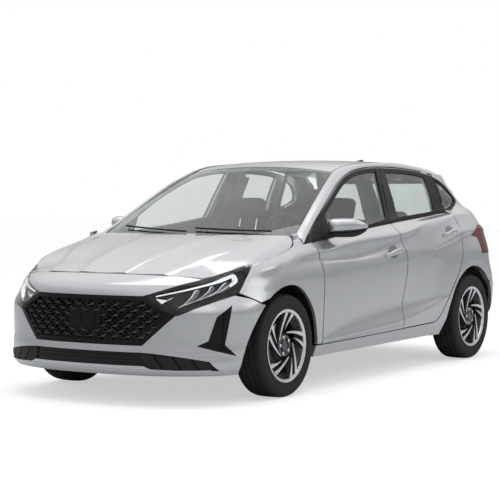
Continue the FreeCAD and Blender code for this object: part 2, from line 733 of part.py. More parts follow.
SCREEN_EDGE = [(880, 736, 958), (846, 727, 979), (700, 698, 1062), (560, 668, 1140), (415, 638, 1218),
               (270, 605, 1291), (190, 585, 1328), (124, 570, 1356)]
SCREEN_MIDDLE = [(985, 957), (944, 978), (781, 1062), (632, 1140), (480, 1218), (334, 1293), (240, 1345),
                 (165, 1392)]


def screen_grid(inset):
    grid = []
    for edge, middle in zip(SCREEN_EDGE, SCREEN_MIDDLE):
        line = (edge[0], edge[1] - inset, edge[2])
        grid.append([spot(*bowed(line, middle, u)) for u in spread(-1, 1, 15)])
    return grid


def forwards(point):
    return Vector(0.6, 0, 0.8)


node("windscreen", shelled(screen_grid(3.0), forwards, 2.0, 2.0 + size("glass_thickness")))

# Bonnet

BONNET = [
    [(1004, 0), (996, 400), (975, 742)],
    [(975, 742), (1000, 792), (1050, 806), (1110, 812), (1300, 812), (1452, 797)],
    [(1452, 797), (1536, 760), (1648, 696), (1744, 645)],
    [(1744, 645), (1790, 518), (1834, 335), (1851, 166), (1856, 0)],
    [(1856, 0), (1851, -166), (1834, -335), (1790, -518), (1744, -645)],
    [(1744, -645), (1648, -696), (1536, -760), (1452, -797)],
    [(1452, -797), (1300, -812), (1110, -812), (1050, -806), (1000, -792), (975, -742)],
    [(975, -742), (996, -400), (1004, 0)],
]
bonnet_grid = plan_field(bonnet_height, 930, 1900, 830, 28, 33)
bonnet_slab = shelled(bonnet_grid, upwards, 0.0, 8.0)
bonnet_cut = prism(BONNET, on_plan, UP, 500, 1300)
bonnet_skin = bonnet_slab.common(bonnet_cut)
bonnet_inner = shelled(bonnet_grid, upwards, 6.0, size("bonnet_thickness"))
bonnet_inner = bonnet_inner.common(prism(BONNET, on_plan, UP, 500, 1300, -14.0))
BONNET_HINGE = (1015.0, 600.0)
bonnet_pivot = spot(BONNET_HINGE[0], BONNET_HINGE[1], bonnet_height(*BONNET_HINGE) - 15)
bonnet_pocket = block(bonnet_pivot.x - 40, bonnet_pivot.x + 13, bonnet_pivot.y - 15, bonnet_pivot.y + 15,
                      bonnet_pivot.z - 20, bonnet_pivot.z + 8)
bonnet_bore = rod(bonnet_pivot - LEFT * 30, bonnet_pivot + LEFT * 30, bore_radius)
hinge_room = bonnet_pocket.fuse(bonnet_bore)
node("bonnet", main_solid(bonnet_skin.fuse(bonnet_inner).cut([hinge_room, mirrored(hinge_room)])))
bonnet_room = prism(BONNET, on_plan, UP, 500, 1300, gap + 1)

# Front bumper, lamps and grille

CORNER = Vector(0.72, 0.69, 0).normalize()
LAMP = [(1965, 386, 638), (1909, 497, 675), (1832, 582, 706), (1746, 647, 729), (1648, 699, 759),
        (1536, 763, 791), (1452, 799, 811), (1611, 809, 649), (1647, 798, 634), (1760, 741, 603),
        (1848, 670, 568), (1908, 581, 525)]
VENT = [(1684, 809, 584), (1733, 791, 358), (1668, 829, 291), (1854, 677, 354), (1809, 727, 383),
        (1772, 761, 518)]


def corner_prism(points, grow=0.0):
    """Outline of points on the front corner, swept through the corner."""
    flat = []
    for p in points:
        v = spot(*p)
        flat.append(v - CORNER * v.dot(CORNER))
    face = Part.Face(Part.makePolygon(flat + flat[:1]))
    if grow:
        face = face.makeOffset2D(grow, 0, False, False, True).toNurbs().Faces[0]
    face.translate(CORNER * across(1000))
    return face.extrude(CORNER * across(1500))


def outwards(point):
    return Vector(point.x, point.y * 1.2, 0)


def end_grid(point_at, z0, z1, rows, widest, columns):
    return [[spot(*point_at(math.radians(a), z)) for a in spread(-widest, widest, columns)]
            for z in spread(z0, z1, rows)]


fascia = shelled(end_grid(nose_point, 140, 690, 23, 87.0, 41), outwards, 0.0, size("bumper_thickness"))
fascia = fascia.cut(block(1000, 2300, -1200, 1200, 0, upward(180)))
lamp_rows = [[spot(*nose_point(math.radians(a), z)) for a in spread(8.0, 86.0, 24)]
             for z in spread(490, 835, 16)]
lamp_wall = spline_surface(lamp_rows).toShape().extrude(CORNER * -size("lamp_depth"))
lamp = main_solid(lamp_wall.common(corner_prism(LAMP, -size("fit_gap"))).cut(bonnet_room))
node("headlamps", both(lamp))

GRILLE = closed([(-388, 637), (388, 637), (586, 539), (392, 354), (-392, 354), (-586, 539)])
INTAKE = [
    [(-376, 316), (376, 316)], [(376, 316), (550, 301), (736, 266)], [(736, 266), (772, 211)],
    [(772, 211), (440, 222)], [(440, 222), (400, 238)], [(400, 238), (-400, 238)], [(-400, 238), (-440, 222)],
    [(-440, 222), (-772, 211)], [(-772, 211), (-736, 266)], [(-736, 266), (-550, 301), (-376, 316)],
]
BUMPER_TOP = closed([(1900, 900), (1900, 640), (1652, 637), (1557, 614), (1479, 579), (1380, 560), (1380, 900)])
grille_hole = prism(GRILLE, on_front, AHEAD, 1500, 2200)
intake_hole = prism(INTAKE, on_front, AHEAD, 1500, 2200)
lamp_room = corner_prism(LAMP)
vent_hole = corner_prism(VENT)
above_bumper = side_prism(BUMPER_TOP)
front_wheel_room = arch_prism(FRONT_ARCH)
upper_side = above_bumper.common(block(1300, 1660, 0, 1200, 500, 1000))
bumper = fascia
for room in (lamp_room, mirrored(lamp_room), grille_hole, intake_hole, vent_hole, mirrored(vent_hole),
             front_wheel_room, mirrored(front_wheel_room), upper_side, mirrored(upper_side)):
    bumper = bumper.cut(room)
NOSE_STRIP = [
    [(-388, 637), (388, 637)], [(388, 637), (497, 675), (582, 706), (647, 729)],
    [(647, 729), (577, 738), (518, 744), (460, 746), (335, 750), (166, 752), (0, 752)],
    [(0, 752), (-166, 752), (-335, 750), (-460, 746), (-518, 744), (-577, 738), (-647, 729)],
    [(-647, 729), (-582, 706), (-497, 675), (-388, 637)],
]
strip_wall = shelled(end_grid(nose_point, 560, 800, 24, 66.0, 41), outwards, 0.0, size("bumper_thickness"))
nose_strip = strip_wall.common(prism(NOSE_STRIP, on_front, AHEAD, 1500, 2200))
nose_strip = nose_strip.cut([bonnet_room, lamp_room, mirrored(lamp_room)])
node("front_bumper", Part.makeCompound([main_solid(bumper), main_solid(nose_strip)]))

grille_wall = shelled(end_grid(nose_point, 340, 650, 14, 60.0, 25), outwards, 14.0, 34.0)
grille = grille_wall.common(prism(GRILLE, on_front, AHEAD, 1500, 2200, -size("fit_gap")))


def grille_openings():
    """Diamond openings in staggered rows, clear of the grille's rim and of its middle panel."""
    wide = size("grille_pitch") / 2
    tall = wide * 0.72
    bar = size("grille_bar") / 2
    inside = prism(GRILLE, on_front, AHEAD, 0, 10, -size("grille_rim"))
    found = []
    for row in range(-5, 6):
        for column in range(-7, 8):
            y = (column + 0.5 * (row % 2)) * 2 * wide
            z = TOWING_PLACE[1] + row * tall
            if abs(y) < SENSOR_PANEL[0] + wide and abs(z - TOWING_PLACE[1]) < SENSOR_PANEL[1] + tall:
                continue
            corners = [(y - wide + bar, z), (y, z + tall - bar), (y + wide - bar, z), (y, z - tall + bar)]
            if all(inside.isInside(on_front(*c) + AHEAD * 5, 0.01, True) for c in corners):
                found.append(prism(closed(corners), on_front, AHEAD, 1500, 2200))
    return found


# The towing eye goes in through one of the openings: its place across the car and its height
TOWING_PLACE = (-420.0, 496.0)
SENSOR_PANEL = (105.0, 46.0)
grille = grille.cut([lamp_room, mirrored(lamp_room)])
grille = main_solid(grille).cut(grille_openings())
intake_wall = shelled(end_grid(nose_point, 195, 330, 10, 70.0, 31), outwards, 14.0, 30.0)
intake = intake_wall.common(prism(INTAKE, on_front, AHEAD, 1500, 2200, -size("fit_gap")))
vent_rows = [[spot(*nose_point(math.radians(a), z)) for a in spread(20.0, 86.0, 20)]
             for z in spread(240, 640, 16)]
vent_wall = shelled(vent_rows, outwards, 10.0, 22.0)
vent_left = main_solid(vent_wall.common(corner_prism(VENT, -size("fit_gap"))))
node("front_grilles", Part.makeCompound([main_solid(grille), main_solid(intake), vent_left, mirrored(vent_left)]))

# Front fenders

FENDER = [
    [(807, 924), (798, 860), (780, 790), (765, 720), (765, 600), (770, 400), (780, 292)],
    [(780, 292), (880, 292)],
    [(880, 292), (880, 440)],
    [(880, 440), (1340, 620)],
    [(1340, 620), (1479, 589)],
    [(1479, 589), (1557, 624), (1611, 649)],
    [(1611, 649), (1452, 815)],
    [(1452, 815), (1300, 841), (1110, 877), (1045, 908)],
    [(1045, 908), (1040, 955)],
    [(1040, 955), (934, 975)],
    [(934, 975), (919, 905)],
    [(919, 905), (807, 924)],
]
fender_top = smooth([(740, 1012), (930, 1010), (1040, 990), (1110, 918), (1300, 868), (1452, 830),
                     (1611, 745), (1700, 700)])


def fender_wall():
    """Slab under the front fender, its rows spread evenly up to the fender's own top line."""
    outer = []
    inner = []
    for x in spread(740, 1660, 34):
        row = [spot(x, skin(x, z), z) for z in spread(180, fender_top(x), 26)]
        outer.append(row)
        inner.append([p - LEFT * skin_depth for p in row])
    return between(outer, inner)


fender_slab = fender_wall()
fender = fender_slab.common(side_prism(FENDER)).cut([front_wheel_room, lamp_room, bonnet_room])
node("front_fenders", both(biggest(fender)))

# Rear bumper, tailgate and tail lamps

tail_grid = end_grid(tail_point, 200, 760, 20, 88.0, 41)


def backwards(point):
    return Vector(point.x, point.y * 1.2, 0)


rear_wall = shelled(tail_grid, backwards, 0.0, size("bumper_thickness"))
rear_wall = rear_wall.cut([block(-2300, -1000, -1200, 1200, 0, upward(242)),
                           block(-2300, -1000, -1200, 1200, upward(684), upward(900))])
REAR_BUMPER_TOP = closed([(-1500, 900), (-1500, 560), (-1693, 554), (-1752, 684), (-1990, 684), (-1990, 900)])
rear_wheel_room = arch_prism(REAR_ARCH)
rear_top = side_prism(REAR_BUMPER_TOP)
TAILGATE_LOW = 640.0
tailgate_room = block(-2300, -1600, across(-585 - gap), across(585 + gap), upward(TAILGATE_LOW - gap), 1500)
rear_bumper = rear_wall.cut([rear_wheel_room, mirrored(rear_wheel_room), rear_top, mirrored(rear_top),
                             tailgate_room])
node("rear_bumper", biggest(rear_bumper))

GATE = [
    [(-575, TAILGATE_LOW), (575, TAILGATE_LOW)],
    [(575, TAILGATE_LOW), (590, 760), (592, 900), (585, 1000), (560, 1150), (530, 1260), (520, 1345)],
    [(520, 1345), (-520, 1345)],
    [(-520, 1345), (-530, 1260), (-560, 1150), (-585, 1000), (-592, 900), (-590, 760), (-575, TAILGATE_LOW)],
]
REAR_GLASS = [
    [(-505, 1010), (505, 1010)],
    [(505, 1010), (478, 1150), (448, 1285)],
    [(448, 1285), (-448, 1285)],
    [(-448, 1285), (-478, 1150), (-505, 1010)],
]


def gate_x(y, z):
    """Station of the rear face at a half width and height."""
    width = side_width(tail_x(z) + 150, z)
    share = min(abs(y) / width, 0.97)
    return tail_x(z) + TAIL_ROUND * (1 - (1 - share ** TAIL_POWER) ** (1 / TAIL_POWER))


def gate_grid(half, z0, z1):
    return [[spot(gate_x(y, z), y, z) for y in spread(-half, half, 25)] for z in spread(z0, z1, 26)]


def rearward(point):
    return Vector(-1, 0, 0)


gate_wall = shelled(gate_grid(625, 600, 1350), rearward, 0.0, size("tailgate_thickness"))
gate = gate_wall.common(prism(GATE, on_front, -AHEAD, 1000, 2400))
gate = gate.cut(prism(REAR_GLASS, on_front, -AHEAD, 1000, 2400))
spoiler_grid = plan_field(roof_height_at, -1336, -1668, 552, 10, 15)
spoiler = shelled(spoiler_grid, upwards, 0.0, 24.0)
SPOILER = [
    [(-1338, 0), (-1330, 280), (-1293, 548)],
    [(-1293, 548), (-1480, 540), (-1600, 505)],
    [(-1600, 505), (-1650, 300), (-1662, 0)],
    [(-1662, 0), (-1650, -300), (-1600, -505)],
    [(-1600, -505), (-1480, -540), (-1293, -548)],
    [(-1293, -548), (-1330, -280), (-1338, 0)],
]
spoiler = spoiler.common(prism(SPOILER, on_plan, UP, 1000, 2000))
tailgate = gate.fuse(spoiler)
gate_glass_wall = shelled(gate_grid(540, 980, 1310), rearward, size("glass_depth"),
                          size("glass_depth") + size("glass_thickness"))
gate_glass = gate_glass_wall.common(prism(REAR_GLASS, on_front, -AHEAD, 1000, 2400, -size("glass_seat")))
node("tailgate_window", biggest(gate_glass))
lamp_slab = quarter_slab(2.0, size("quarter_thickness"))
tail_lamp = lamp_slab.common(side_prism(TAIL_LAMP, -size("fit_gap")))
outer_lamp = biggest(tail_lamp.cut(block(-2300, -1000, 0, across(600 + gap), 0, 2000)))
node("tail_lamps", both(outer_lamp))
GATE_LAMP = closed([(588, 800), (588, 930), (420, 900), (420, 850)])
gate_lamp_wall = shelled(gate_grid(600, 760, 960), rearward, 1.0, 12.0)
lamp_on_gate = gate_lamp_wall.common(prism(GATE_LAMP, on_front, -AHEAD, 1000, 2400, -size("fit_gap")))
lamp_pocket = shelled(gate_grid(600, 750, 970), rearward, -20.0, 12.0 + size("fit_gap"))
lamp_pocket = lamp_pocket.common(prism(GATE_LAMP, on_front, -AHEAD, 1000, 2400))
node("tailgate_lamps", both(biggest(lamp_on_gate)))
gate_arms = []
for y in (-GATE_ARM, GATE_ARM):
    route = [(0.0, 0.0), (-8.0, -62.0), (-90.0, -72.0), (-96.0, -12.0)]
    for a, b in zip(route, route[1:]):
        start = Vector(gate_pivot.x + a[0], y - 8, gate_pivot.z + a[1])
        stop = Vector(gate_pivot.x + b[0], y - 8, gate_pivot.z + b[1])
        line = (stop - start).normalize()
        side = line.cross(LEFT) * 8
        corners = [start - line * 7 + side, stop + line * 7 + side, stop + line * 7 - side, start - line * 7 - side]
        gate_arms.append(Part.Face(Part.makePolygon(corners + corners[:1])).extrude(LEFT * 16))
gate_bore = rod(Vector(gate_pivot.x, -GATE_ARM - 30, gate_pivot.z), Vector(gate_pivot.x, GATE_ARM + 30, gate_pivot.z),
                bore_radius)
tailgate = tailgate.fuse(gate_arms).cut(gate_bore)
plate_face = spot(-1950, 0, 800)
plate_recess = block(-2300, plate_face.x, across(-262), across(262), upward(742), upward(858))
plate_holes = [rod(Vector(plate_face.x, y, plate_face.z), Vector(plate_face.x + 60, y, plate_face.z),
                   size("plate_hole_radius"))
               for y in (-size("plate_hole_spacing") / 2, size("plate_hole_spacing") / 2)]
# The aerial's fin stands over this notch as the tailgate swings up
aerial_notch = block(along(-1372), along(-1290), -20, 20, upward(1340), upward(1480))
node("tailgate", main_solid(tailgate.cut([lamp_pocket, mirrored(lamp_pocket), plate_recess, aerial_notch]
                                         + plate_holes)))

# Underbody: floor, bulkhead, inner walls and the frame ahead of them

tail_room = shelled(tail_grid, backwards, -60.0, size("bumper_thickness") + size("fit_gap"))

deck = size("floor_level")
plate = size("floor_thickness")
half = across(size("cabin_half_width"))
tunnel = block(along(-545), along(700), -130, 130, deck, deck + 90)
floor = block(along(-1000), along(730), -half, half, deck, deck + plate)
toe_board = block(along(700), along(730), -half, half, deck, upward(900))
heel_board = block(along(-1000), along(-976), -half, half, deck, upward(480))
boot_floor = block(along(-1880), along(-976), across(-480), across(480), upward(480), upward(500))
boot_walls = [block(along(-1860), along(-1140), low, high, upward(480), upward(880))
              for low, high in ((across(480), across(494)), (across(-494), across(-480)))]
cowl = block(along(700), along(1032), -half, half, upward(878), upward(892))
screen_room = shelled(screen_grid(3.0), forwards, -60.0, 2.0 + size("glass_thickness") + size("fit_gap"))
seats = [block(along(822), along(838), y - 8, y + 8, upward(885), upward(1030)).cut(screen_room)
         for y in (across(-600), across(600))]
for sign in (1, -1):
    y = bonnet_pivot.y * sign
    seats.append(block(bonnet_pivot.x - 7, bonnet_pivot.x + 7, y - 9, y + 9, upward(885), bonnet_pivot.z))
    seats.append(rod(Vector(bonnet_pivot.x, y - 9, bonnet_pivot.z), Vector(bonnet_pivot.x, y + 9, bonnet_pivot.z), 7))
    seats.append(rod(Vector(bonnet_pivot.x, y - 28, bonnet_pivot.z), Vector(bonnet_pivot.x, y + 28, bonnet_pivot.z),
                     pin_radius))
liner_top = axle_z + size("liner_radius") + size("liner_thickness") + size("fit_gap")
for sign in (1, -1):
    low, high = sorted((across(490) * sign, across(640) * sign))
    seats.append(block(along(-1432), along(-1373), low, high, liner_top, liner_top + 10))
    low, high = sorted((across(300) * sign, across(360) * sign))
    seats.append(block(along(-2055), along(-1870), low, high, upward(480), upward(500)).cut(tail_room))
underbody = floor.fuse([tunnel, toe_board, heel_board, boot_floor, cowl] + boot_walls + seats)
node("floor_pan", main_solid(underbody))

rails = []
for sign in (1, -1):
    inner = across(400) * sign
    outer = across(460) * sign
    low, high = sorted((inner, outer))
    rails.append(block(along(730), along(1890), low, high, upward(430), upward(530)))
    low, high = sorted((across(462) * sign, across(650) * sign))
    rails.append(block(along(1130), along(1225), low, high, upward(722), upward(738)))
    rails.append(block(along(1130), along(1240), min(across(440) * sign, across(500) * sign),
                       max(across(440) * sign, across(500) * sign), upward(520), upward(760)))
beam = block(along(1860), along(1900), across(-480), across(480), upward(430), upward(530))
panel = block(along(1760), along(1790), across(-500), across(500), upward(640), upward(680))
posts = [block(along(1760), along(1790), across(y) - 20, across(y) + 20, upward(520), upward(650))
         for y in (-430, 430)]
towing_mouth = spot(1905, *TOWING_PLACE)
towing_boss = rod(towing_mouth - AHEAD * 75, towing_mouth, 20)
towing_thread = rod(towing_mouth - AHEAD * size("towing_thread_depth"), towing_mouth, size("towing_thread_radius"))
seat_gap = size("fit_gap")
engine_face = size("engine_width") / 2 + seat_gap
grille_room = shelled(end_grid(nose_point, 340, 650, 14, 60.0, 25), outwards, -60.0, 34.0 + seat_gap)
bumper_room = shelled(end_grid(nose_point, 140, 690, 23, 87.0, 41), outwards, -60.0,
                      size("bumper_thickness") + seat_gap)
strip_room = shelled(end_grid(nose_point, 560, 800, 24, 66.0, 41), outwards, -60.0,
                     size("bumper_thickness") + seat_gap)
brackets = []
for sign in (1, -1):
    low, high = sorted((engine_face * sign, across(410) * sign))
    brackets.append(block(along(1250), along(1350), low, high, upward(445), upward(515)))
    low, high = sorted((across(110) * sign, across(150) * sign))
    brackets.append(block(along(1890), along(2010), low, high, upward(450), upward(490)).cut(grille_room))
    low, high = sorted((across(190) * sign, across(230) * sign))
    brackets.append(block(along(1870), along(1896), low, high, upward(324), upward(440)))
    brackets.append(block(along(1880), along(2020), low, high, upward(324), upward(344)).cut(bumper_room))
    brackets.append(block(along(1770), along(1985), low, high, upward(672), upward(694)).cut(strip_room))
frame = beam.fuse(rails + [panel, towing_boss] + posts + brackets).cut(towing_thread)
node("front_frame", main_solid(frame))

engine = doc.addObject("Part::Box", "engine_block")
engine.Label = "engine_block"
bind(engine, Length="sizes.engine_length", Width="sizes.engine_width", Height="sizes.engine_tall",
     Placement__Base__x="sizes.overall_length / 2 - sizes.front_overhang",
     Placement__Base__y="-sizes.engine_width / 2", Placement__Base__z="sizes.engine_level")
NODES.append(engine)

# Wheels

SPOKE_PAIRS = 5
# Each blade of a pair: its bearing at the rim, how far it turns towards the hub, and its end's radius
SPOKE_PAIR = ((87.0, 62.0, 58.0), (69.0, 30.0, 54.0))


def wheel_bodies():
    """One tyre and one rim about the origin, axle along Y, outer face towards +Y."""
    outer = size("tyre_radius")
    halfw = size("tyre_width") / 2
    bead = size("rim_flange") - 3
    flange = size("rim_width") / 2
    seat = size("rim_radius") + 2.3
    shoulder = outer - 12
    profile = [(flange - 20, seat), (flange - 7, seat), (flange - 1, bead), (halfw - 2, bead + 14),
               (halfw, (bead + outer) / 2),
               (halfw - 3, shoulder - 14), (halfw - 10, shoulder), (halfw - 26, outer),
               (-halfw + 26, outer), (-halfw + 10, shoulder), (-halfw + 3, shoulder - 14),
               (-halfw, (bead + outer) / 2), (-halfw + 2, bead + 14), (-flange + 1, bead),
               (-flange + 7, seat), (-flange + 20, seat), (-halfw + 30, seat + 18), (-halfw + 12, shoulder - 20),
               (halfw - 12, shoulder - 20), (halfw - 30, seat + 18)]
    wire = Part.makePolygon([Vector(0, y, r) for y, r in profile + profile[:1]])
    tyre = Part.Face(wire).revolve(Vector(0, 0, 0), LEFT, 360)
    rim_half = size("rim_width") / 2
    wall = size("rim_wall")
    well = size("rim_radius") - 30
    lip = size("rim_flange") - 4
    base = size("rim_radius") + 1.5
    barrel_profile = [(rim_half + 6, lip), (rim_half, lip), (rim_half - 6, base), (rim_half - 30, base),
                      (rim_half - 46, well), (-rim_half + 40, well), (-rim_half + 26, base),
                      (-rim_half + 6, base), (-rim_half, lip), (-rim_half - 6, lip),
                      (-rim_half - 4, base - wall), (-rim_half + 22, base - wall),
                      (-rim_half + 36, well - wall), (rim_half - 42, well - wall),
                      (rim_half - 28, base - wall), (rim_half + 4, base - wall)]
    wire = Part.makePolygon([Vector(0, y, r) for y, r in barrel_profile + barrel_profile[:1]])
    barrel = Part.Face(wire).revolve(Vector(0, 0, 0), LEFT, 360)
    face_y = rim_half - 8
    spokes = []
    for k in range(SPOKE_PAIRS):
        for bearing, swirl, reach in SPOKE_PAIR:
            turn = math.radians(bearing + 360.0 / SPOKE_PAIRS * k)
            a = Vector(-math.cos(turn), 0, math.sin(turn)) * (base - 4)
            turn += math.radians(swirl)
            b = Vector(-math.cos(turn), 0, math.sin(turn)) * reach
            side = (b - a).cross(LEFT).normalize()
            wide = side * size("spoke_rim_width") / 2
            thin = side * size("spoke_hub_width") / 2
            corners = [a + wide, a - wide, b - thin, b + thin]
            blade = Part.Face(Part.makePolygon(corners + corners[:1])).extrude(LEFT * size("spoke_depth"))
            blade.translate(LEFT * (face_y - size("spoke_depth")))
            spokes.append(blade)
    hub = Part.makeCylinder(size("hub_radius"), size("spoke_depth") + 20,
                            Vector(0, face_y - size("spoke_depth") - 20, 0), LEFT)
    rim = barrel.fuse(spokes + [hub])
    disc = Part.makeCylinder(size("disc_radius"), size("disc_thickness"), Vector(0, face_y - 90, 0), LEFT)
    neck = Part.makeCylinder(size("hub_radius") - 10, 60, Vector(0, face_y - 90, 0), LEFT)
    rim = rim.fuse([disc, neck])
    bore = Part.makeCylinder(size("carrier_radius") + 0.05, 200, Vector(0, face_y - 140, 0), LEFT)
    cap = Part.makeCylinder(size("hub_radius") - 8, 12, Vector(0, face_y - 14, 0), LEFT)
    rim = rim.cut(bore).fuse(cap)
    return tyre, biggest(rim)


tyre_shape, rim_shape = wheel_bodies()
CORNERS = [("front_left", front_axle_x, wall_front_y, 1), ("front_right", front_axle_x, -wall_front_y, -1),
           ("rear_left", rear_axle_x, wall_rear_y, 1), ("rear_right", rear_axle_x, -wall_rear_y, -1)]
for name, x, y, side in CORNERS:
    turn = Rotation(UP, 0 if side > 0 else 180)
    for kind, shape in (("tyre", tyre_shape), ("rim", rim_shape)):
        piece = shape.copy()
        piece.Placement = Placement(Vector(x, y, axle_z), turn)
        node(kind + "_" + name, piece)

# Knuckles, suspension and axles

rim_face = size("rim_width") / 2 - 8
spindle_start = wall_front_y + rim_face - 140
knuckle_x = front_axle_x
spindle = rod(Vector(knuckle_x, spindle_start - 30, axle_z), Vector(knuckle_x, wall_front_y + rim_face - 40, axle_z),
              size("carrier_radius"))
upright = block(knuckle_x - 40, knuckle_x + 40, spindle_start - 60, spindle_start - 25, axle_z - 100, axle_z + 90)
# The wheel steers about the line from the lower ball joint to the strut's top
ball_joint = Vector(knuckle_x, wall_front_y - 44.5, axle_z - 85.5)
strut_top = Vector(knuckle_x, ball_joint.y - 125, ball_joint.z + 495)
strut_line = (strut_top - ball_joint).normalize()
strut = rod(ball_joint + strut_line * 150, strut_top - strut_line * 2.4, 14)
spring = rod(ball_joint + strut_line * 425, strut_top - strut_line * 20, 42)
knuckle = upright.fuse([spindle, strut, spring])
node("knuckle_left", knuckle)
node("knuckle_right", mirrored(knuckle))

cradle = block(along(1020), along(1300), across(-360), across(360), upward(205), upward(245))
hangers = []
for sign in (1, -1):
    for x in (1030, 1250):
        low, high = sorted((across(350) * sign, across(450) * sign))
        hangers.append(block(along(x), along(x + 40), low, high, upward(205), upward(245)))
        low, high = sorted((across(410) * sign, across(450) * sign))
        hangers.append(block(along(x), along(x + 40), low, high, upward(205), upward(430) - seat_gap))
cradle = cradle.fuse(hangers)
arms = []
for sign in (1, -1):
    start = Vector(along(1120), across(350) * sign, upward(225))
    stop = Vector(knuckle_x, (spindle_start - 86) * sign, upward(225))
    arms.append(rod(start, stop, 18))
node("front_subframe", main_solid(cradle.fuse(arms)))

beam_x = rear_axle_x + 330
twist = rod(Vector(beam_x, across(-560), axle_z), Vector(beam_x, across(560), axle_z), 34)
trailing = []
for sign in (1, -1):
    y0 = across(560) * sign
    hub_y = (wall_rear_y + rim_face - 140) * sign
    trailing.append(block(rear_axle_x - 40, beam_x + 55, min(y0 - 25, y0 + 25), max(y0 - 25, y0 + 25),
                          axle_z - 30, axle_z + 30))
    trailing.append(rod(Vector(rear_axle_x, y0, axle_z),
                        Vector(rear_axle_x, (wall_rear_y + rim_face - 40) * sign, axle_z), size("carrier_radius")))
    spring_foot = Vector(rear_axle_x + 60, y0 * 0.9, axle_z)
    trailing.append(rod(spring_foot, Vector(spring_foot.x, spring_foot.y, upward(480) - seat_gap), 40))
node("rear_axle", biggest(twist.fuse(trailing)))

# Liners in the wheel arches

def liner(centre_x, y0, y1):
    radius = size("liner_radius")
    thick = size("liner_thickness")
    outer = Part.makeCylinder(radius + thick, y1 - y0, Vector(centre_x, y0, axle_z), LEFT)
    inner = Part.makeCylinder(radius, y1 - y0 + 2, Vector(centre_x, y0 - 1, axle_z), LEFT)
    below = block(centre_x - 500, centre_x + 500, y0 - 2, y1 + 2, -200, upward(330))
    return outer.cut([inner, below])


front_liner = liner(front_axle_x, across(570), across(838)).cut(rod(ball_joint, strut_top + strut_line * 40, 50))
rear_liner = liner(rear_axle_x, across(600), across(835)).cut(tail_room)
node("arch_liners", Part.makeCompound([front_liner, mirrored(front_liner), rear_liner, mirrored(rear_liner)]))

# Cabin

dash = block(along(560), along(690), across(-640), across(640), upward(640), upward(900))
console = block(along(-250), along(570), -110, 110, deck + 90, deck + 260)
console = console.fuse(block(along(480), along(600), -110, 110, deck + 91, upward(660)))
column_angle = math.radians(size("column_rake"))
wheel_centre = Vector(along(330), across(size("seat_offset")), upward(905))
column_axis = Vector(-math.cos(column_angle), 0, math.sin(column_angle))
column_end = wheel_centre - column_axis * 40
column_start = wheel_centre - column_axis * 290
column = rod(column_start, column_end, 32).fuse(rod(column_end, wheel_centre - column_axis * 5, 10))
node("dashboard", biggest(dash.fuse([console, column])))

ring = Part.makeTorus(size("steering_wheel_radius"), size("steering_rim_radius"), Vector(0, 0, 0), UP)
boss = Part.makeCylinder(55, 36, Vector(0, 0, -30))
spokes = [Part.makeBox(2 * size("steering_wheel_radius") - 10, 34, 14,
                       Vector(-size("steering_wheel_radius") + 5, -17, -8)),
          Part.makeBox(34, size("steering_wheel_radius") - 10, 14, Vector(-17, 5, -8))]
shaft_bore = Part.makeCylinder(10 + size("running_gap"), 40, Vector(0, 0, -44))
steering = ring.fuse([boss] + spokes).cut(shaft_bore)
steering.Placement = Placement(wheel_centre, Rotation(UP, column_axis))
node("steering_wheel", steering)


def seat(x, y):
    """Front seat: cushion, raked back and headrest on two posts."""
    wide = size("seat_width")
    level = size("seat_level")
    cushion = Part.makeBox(500, wide, 150, Vector(x, y - wide / 2, deck + plate + 90))
    rails_under = [Part.makeBox(420, 40, 92, Vector(x + 40, y + side * 180 - 20, deck + plate))
                   for side in (1, -1)]
    back = Part.makeBox(120, wide, 600, Vector(-120, y - wide / 2, 0))
    posts = [Part.makeCylinder(7, 120, Vector(-70, y + side * 70, 560)) for side in (1, -1)]
    head = Part.makeBox(100, 270, 170, Vector(-115, y - 135, 660))
    upper = back.fuse(posts + [head])
    upper.rotate(Vector(0, 0, 0), LEFT, -18)
    upper.translate(Vector(x + 70, 0, level + 120))
    return cushion.fuse(rails_under + [upper])


left_seat = seat(along(size("seat_station")), across(size("seat_offset")))
node("front_seats", both(left_seat))
bench = block(along(-960), along(-560), across(-620), across(620), deck + plate, deck + 210)
bench_back = Part.makeBox(110, across(1240), 600, Vector(-110, -across(620), 0))
heads = [Part.makeBox(90, 250, 150, Vector(-100, y - 125, 590)) for y in (-across(365), across(365))]
bench_back = bench_back.fuse(heads)
bench_back.rotate(Vector(0, 0, 0), LEFT, -20)
bench_back.translate(Vector(along(-830), 0, deck + 200))
node("rear_seat", bench.fuse(bench_back))

# Mirrors, aerial, exhaust

housing = Part.makeSphere(1.0)
matrix = FreeCAD.Matrix()
matrix.scale(70, 118, 66)
housing = housing.transformGeometry(matrix)
housing.rotate(Vector(0, 0, 0), UP, 36)
housing.translate(spot(500, 914, 1003))
stalk = block(along(545), along(640), across(780), across(872), upward(948), upward(985))
wall_inside = side_slab(900, -1300, -size("fit_gap"), lambda x, z: 160.0).common(side_prism(FRONT_DOOR, 30.0))
mirror = main_solid(housing.fuse(stalk).cut(wall_inside))
node("mirror_left", mirror)
node("mirror_right", mirrored(mirror))

fin = Part.makePolygon([Vector(0, 0, 0), Vector(-150, 0, 0), Vector(-150, 0, 12), Vector(-120, 0, 34),
                        Vector(-60, 0, 22), Vector(0, 0, 0)])
aerial = Part.Face(fin).extrude(Vector(0, 24, 0))
aerial.translate(Vector(along(-1170), -12, upward(roof_height_at(-1250, 0)) + 6))
node("roof_aerial", aerial)

pipe = rod(Vector(along(690), 190, deck - 45), Vector(along(-1480), 190, deck - 45), size("exhaust_radius"))
silencer = Part.makeCylinder(72, 420, Vector(along(-1820), across(-210), upward(300)), LEFT)
tail_pipe = rod(Vector(along(-1480), 190, deck - 45), Vector(along(-1820), across(120), upward(300)),
                size("exhaust_radius"))
hanger = block(along(-400), along(-380), 182, 198, deck - 45, deck - seat_gap)
strap = block(along(-1830), along(-1810), -8, 8, upward(300), upward(480) - seat_gap)
node("exhaust", main_solid(pipe.fuse([tail_pipe, silencer, hanger, strap])))


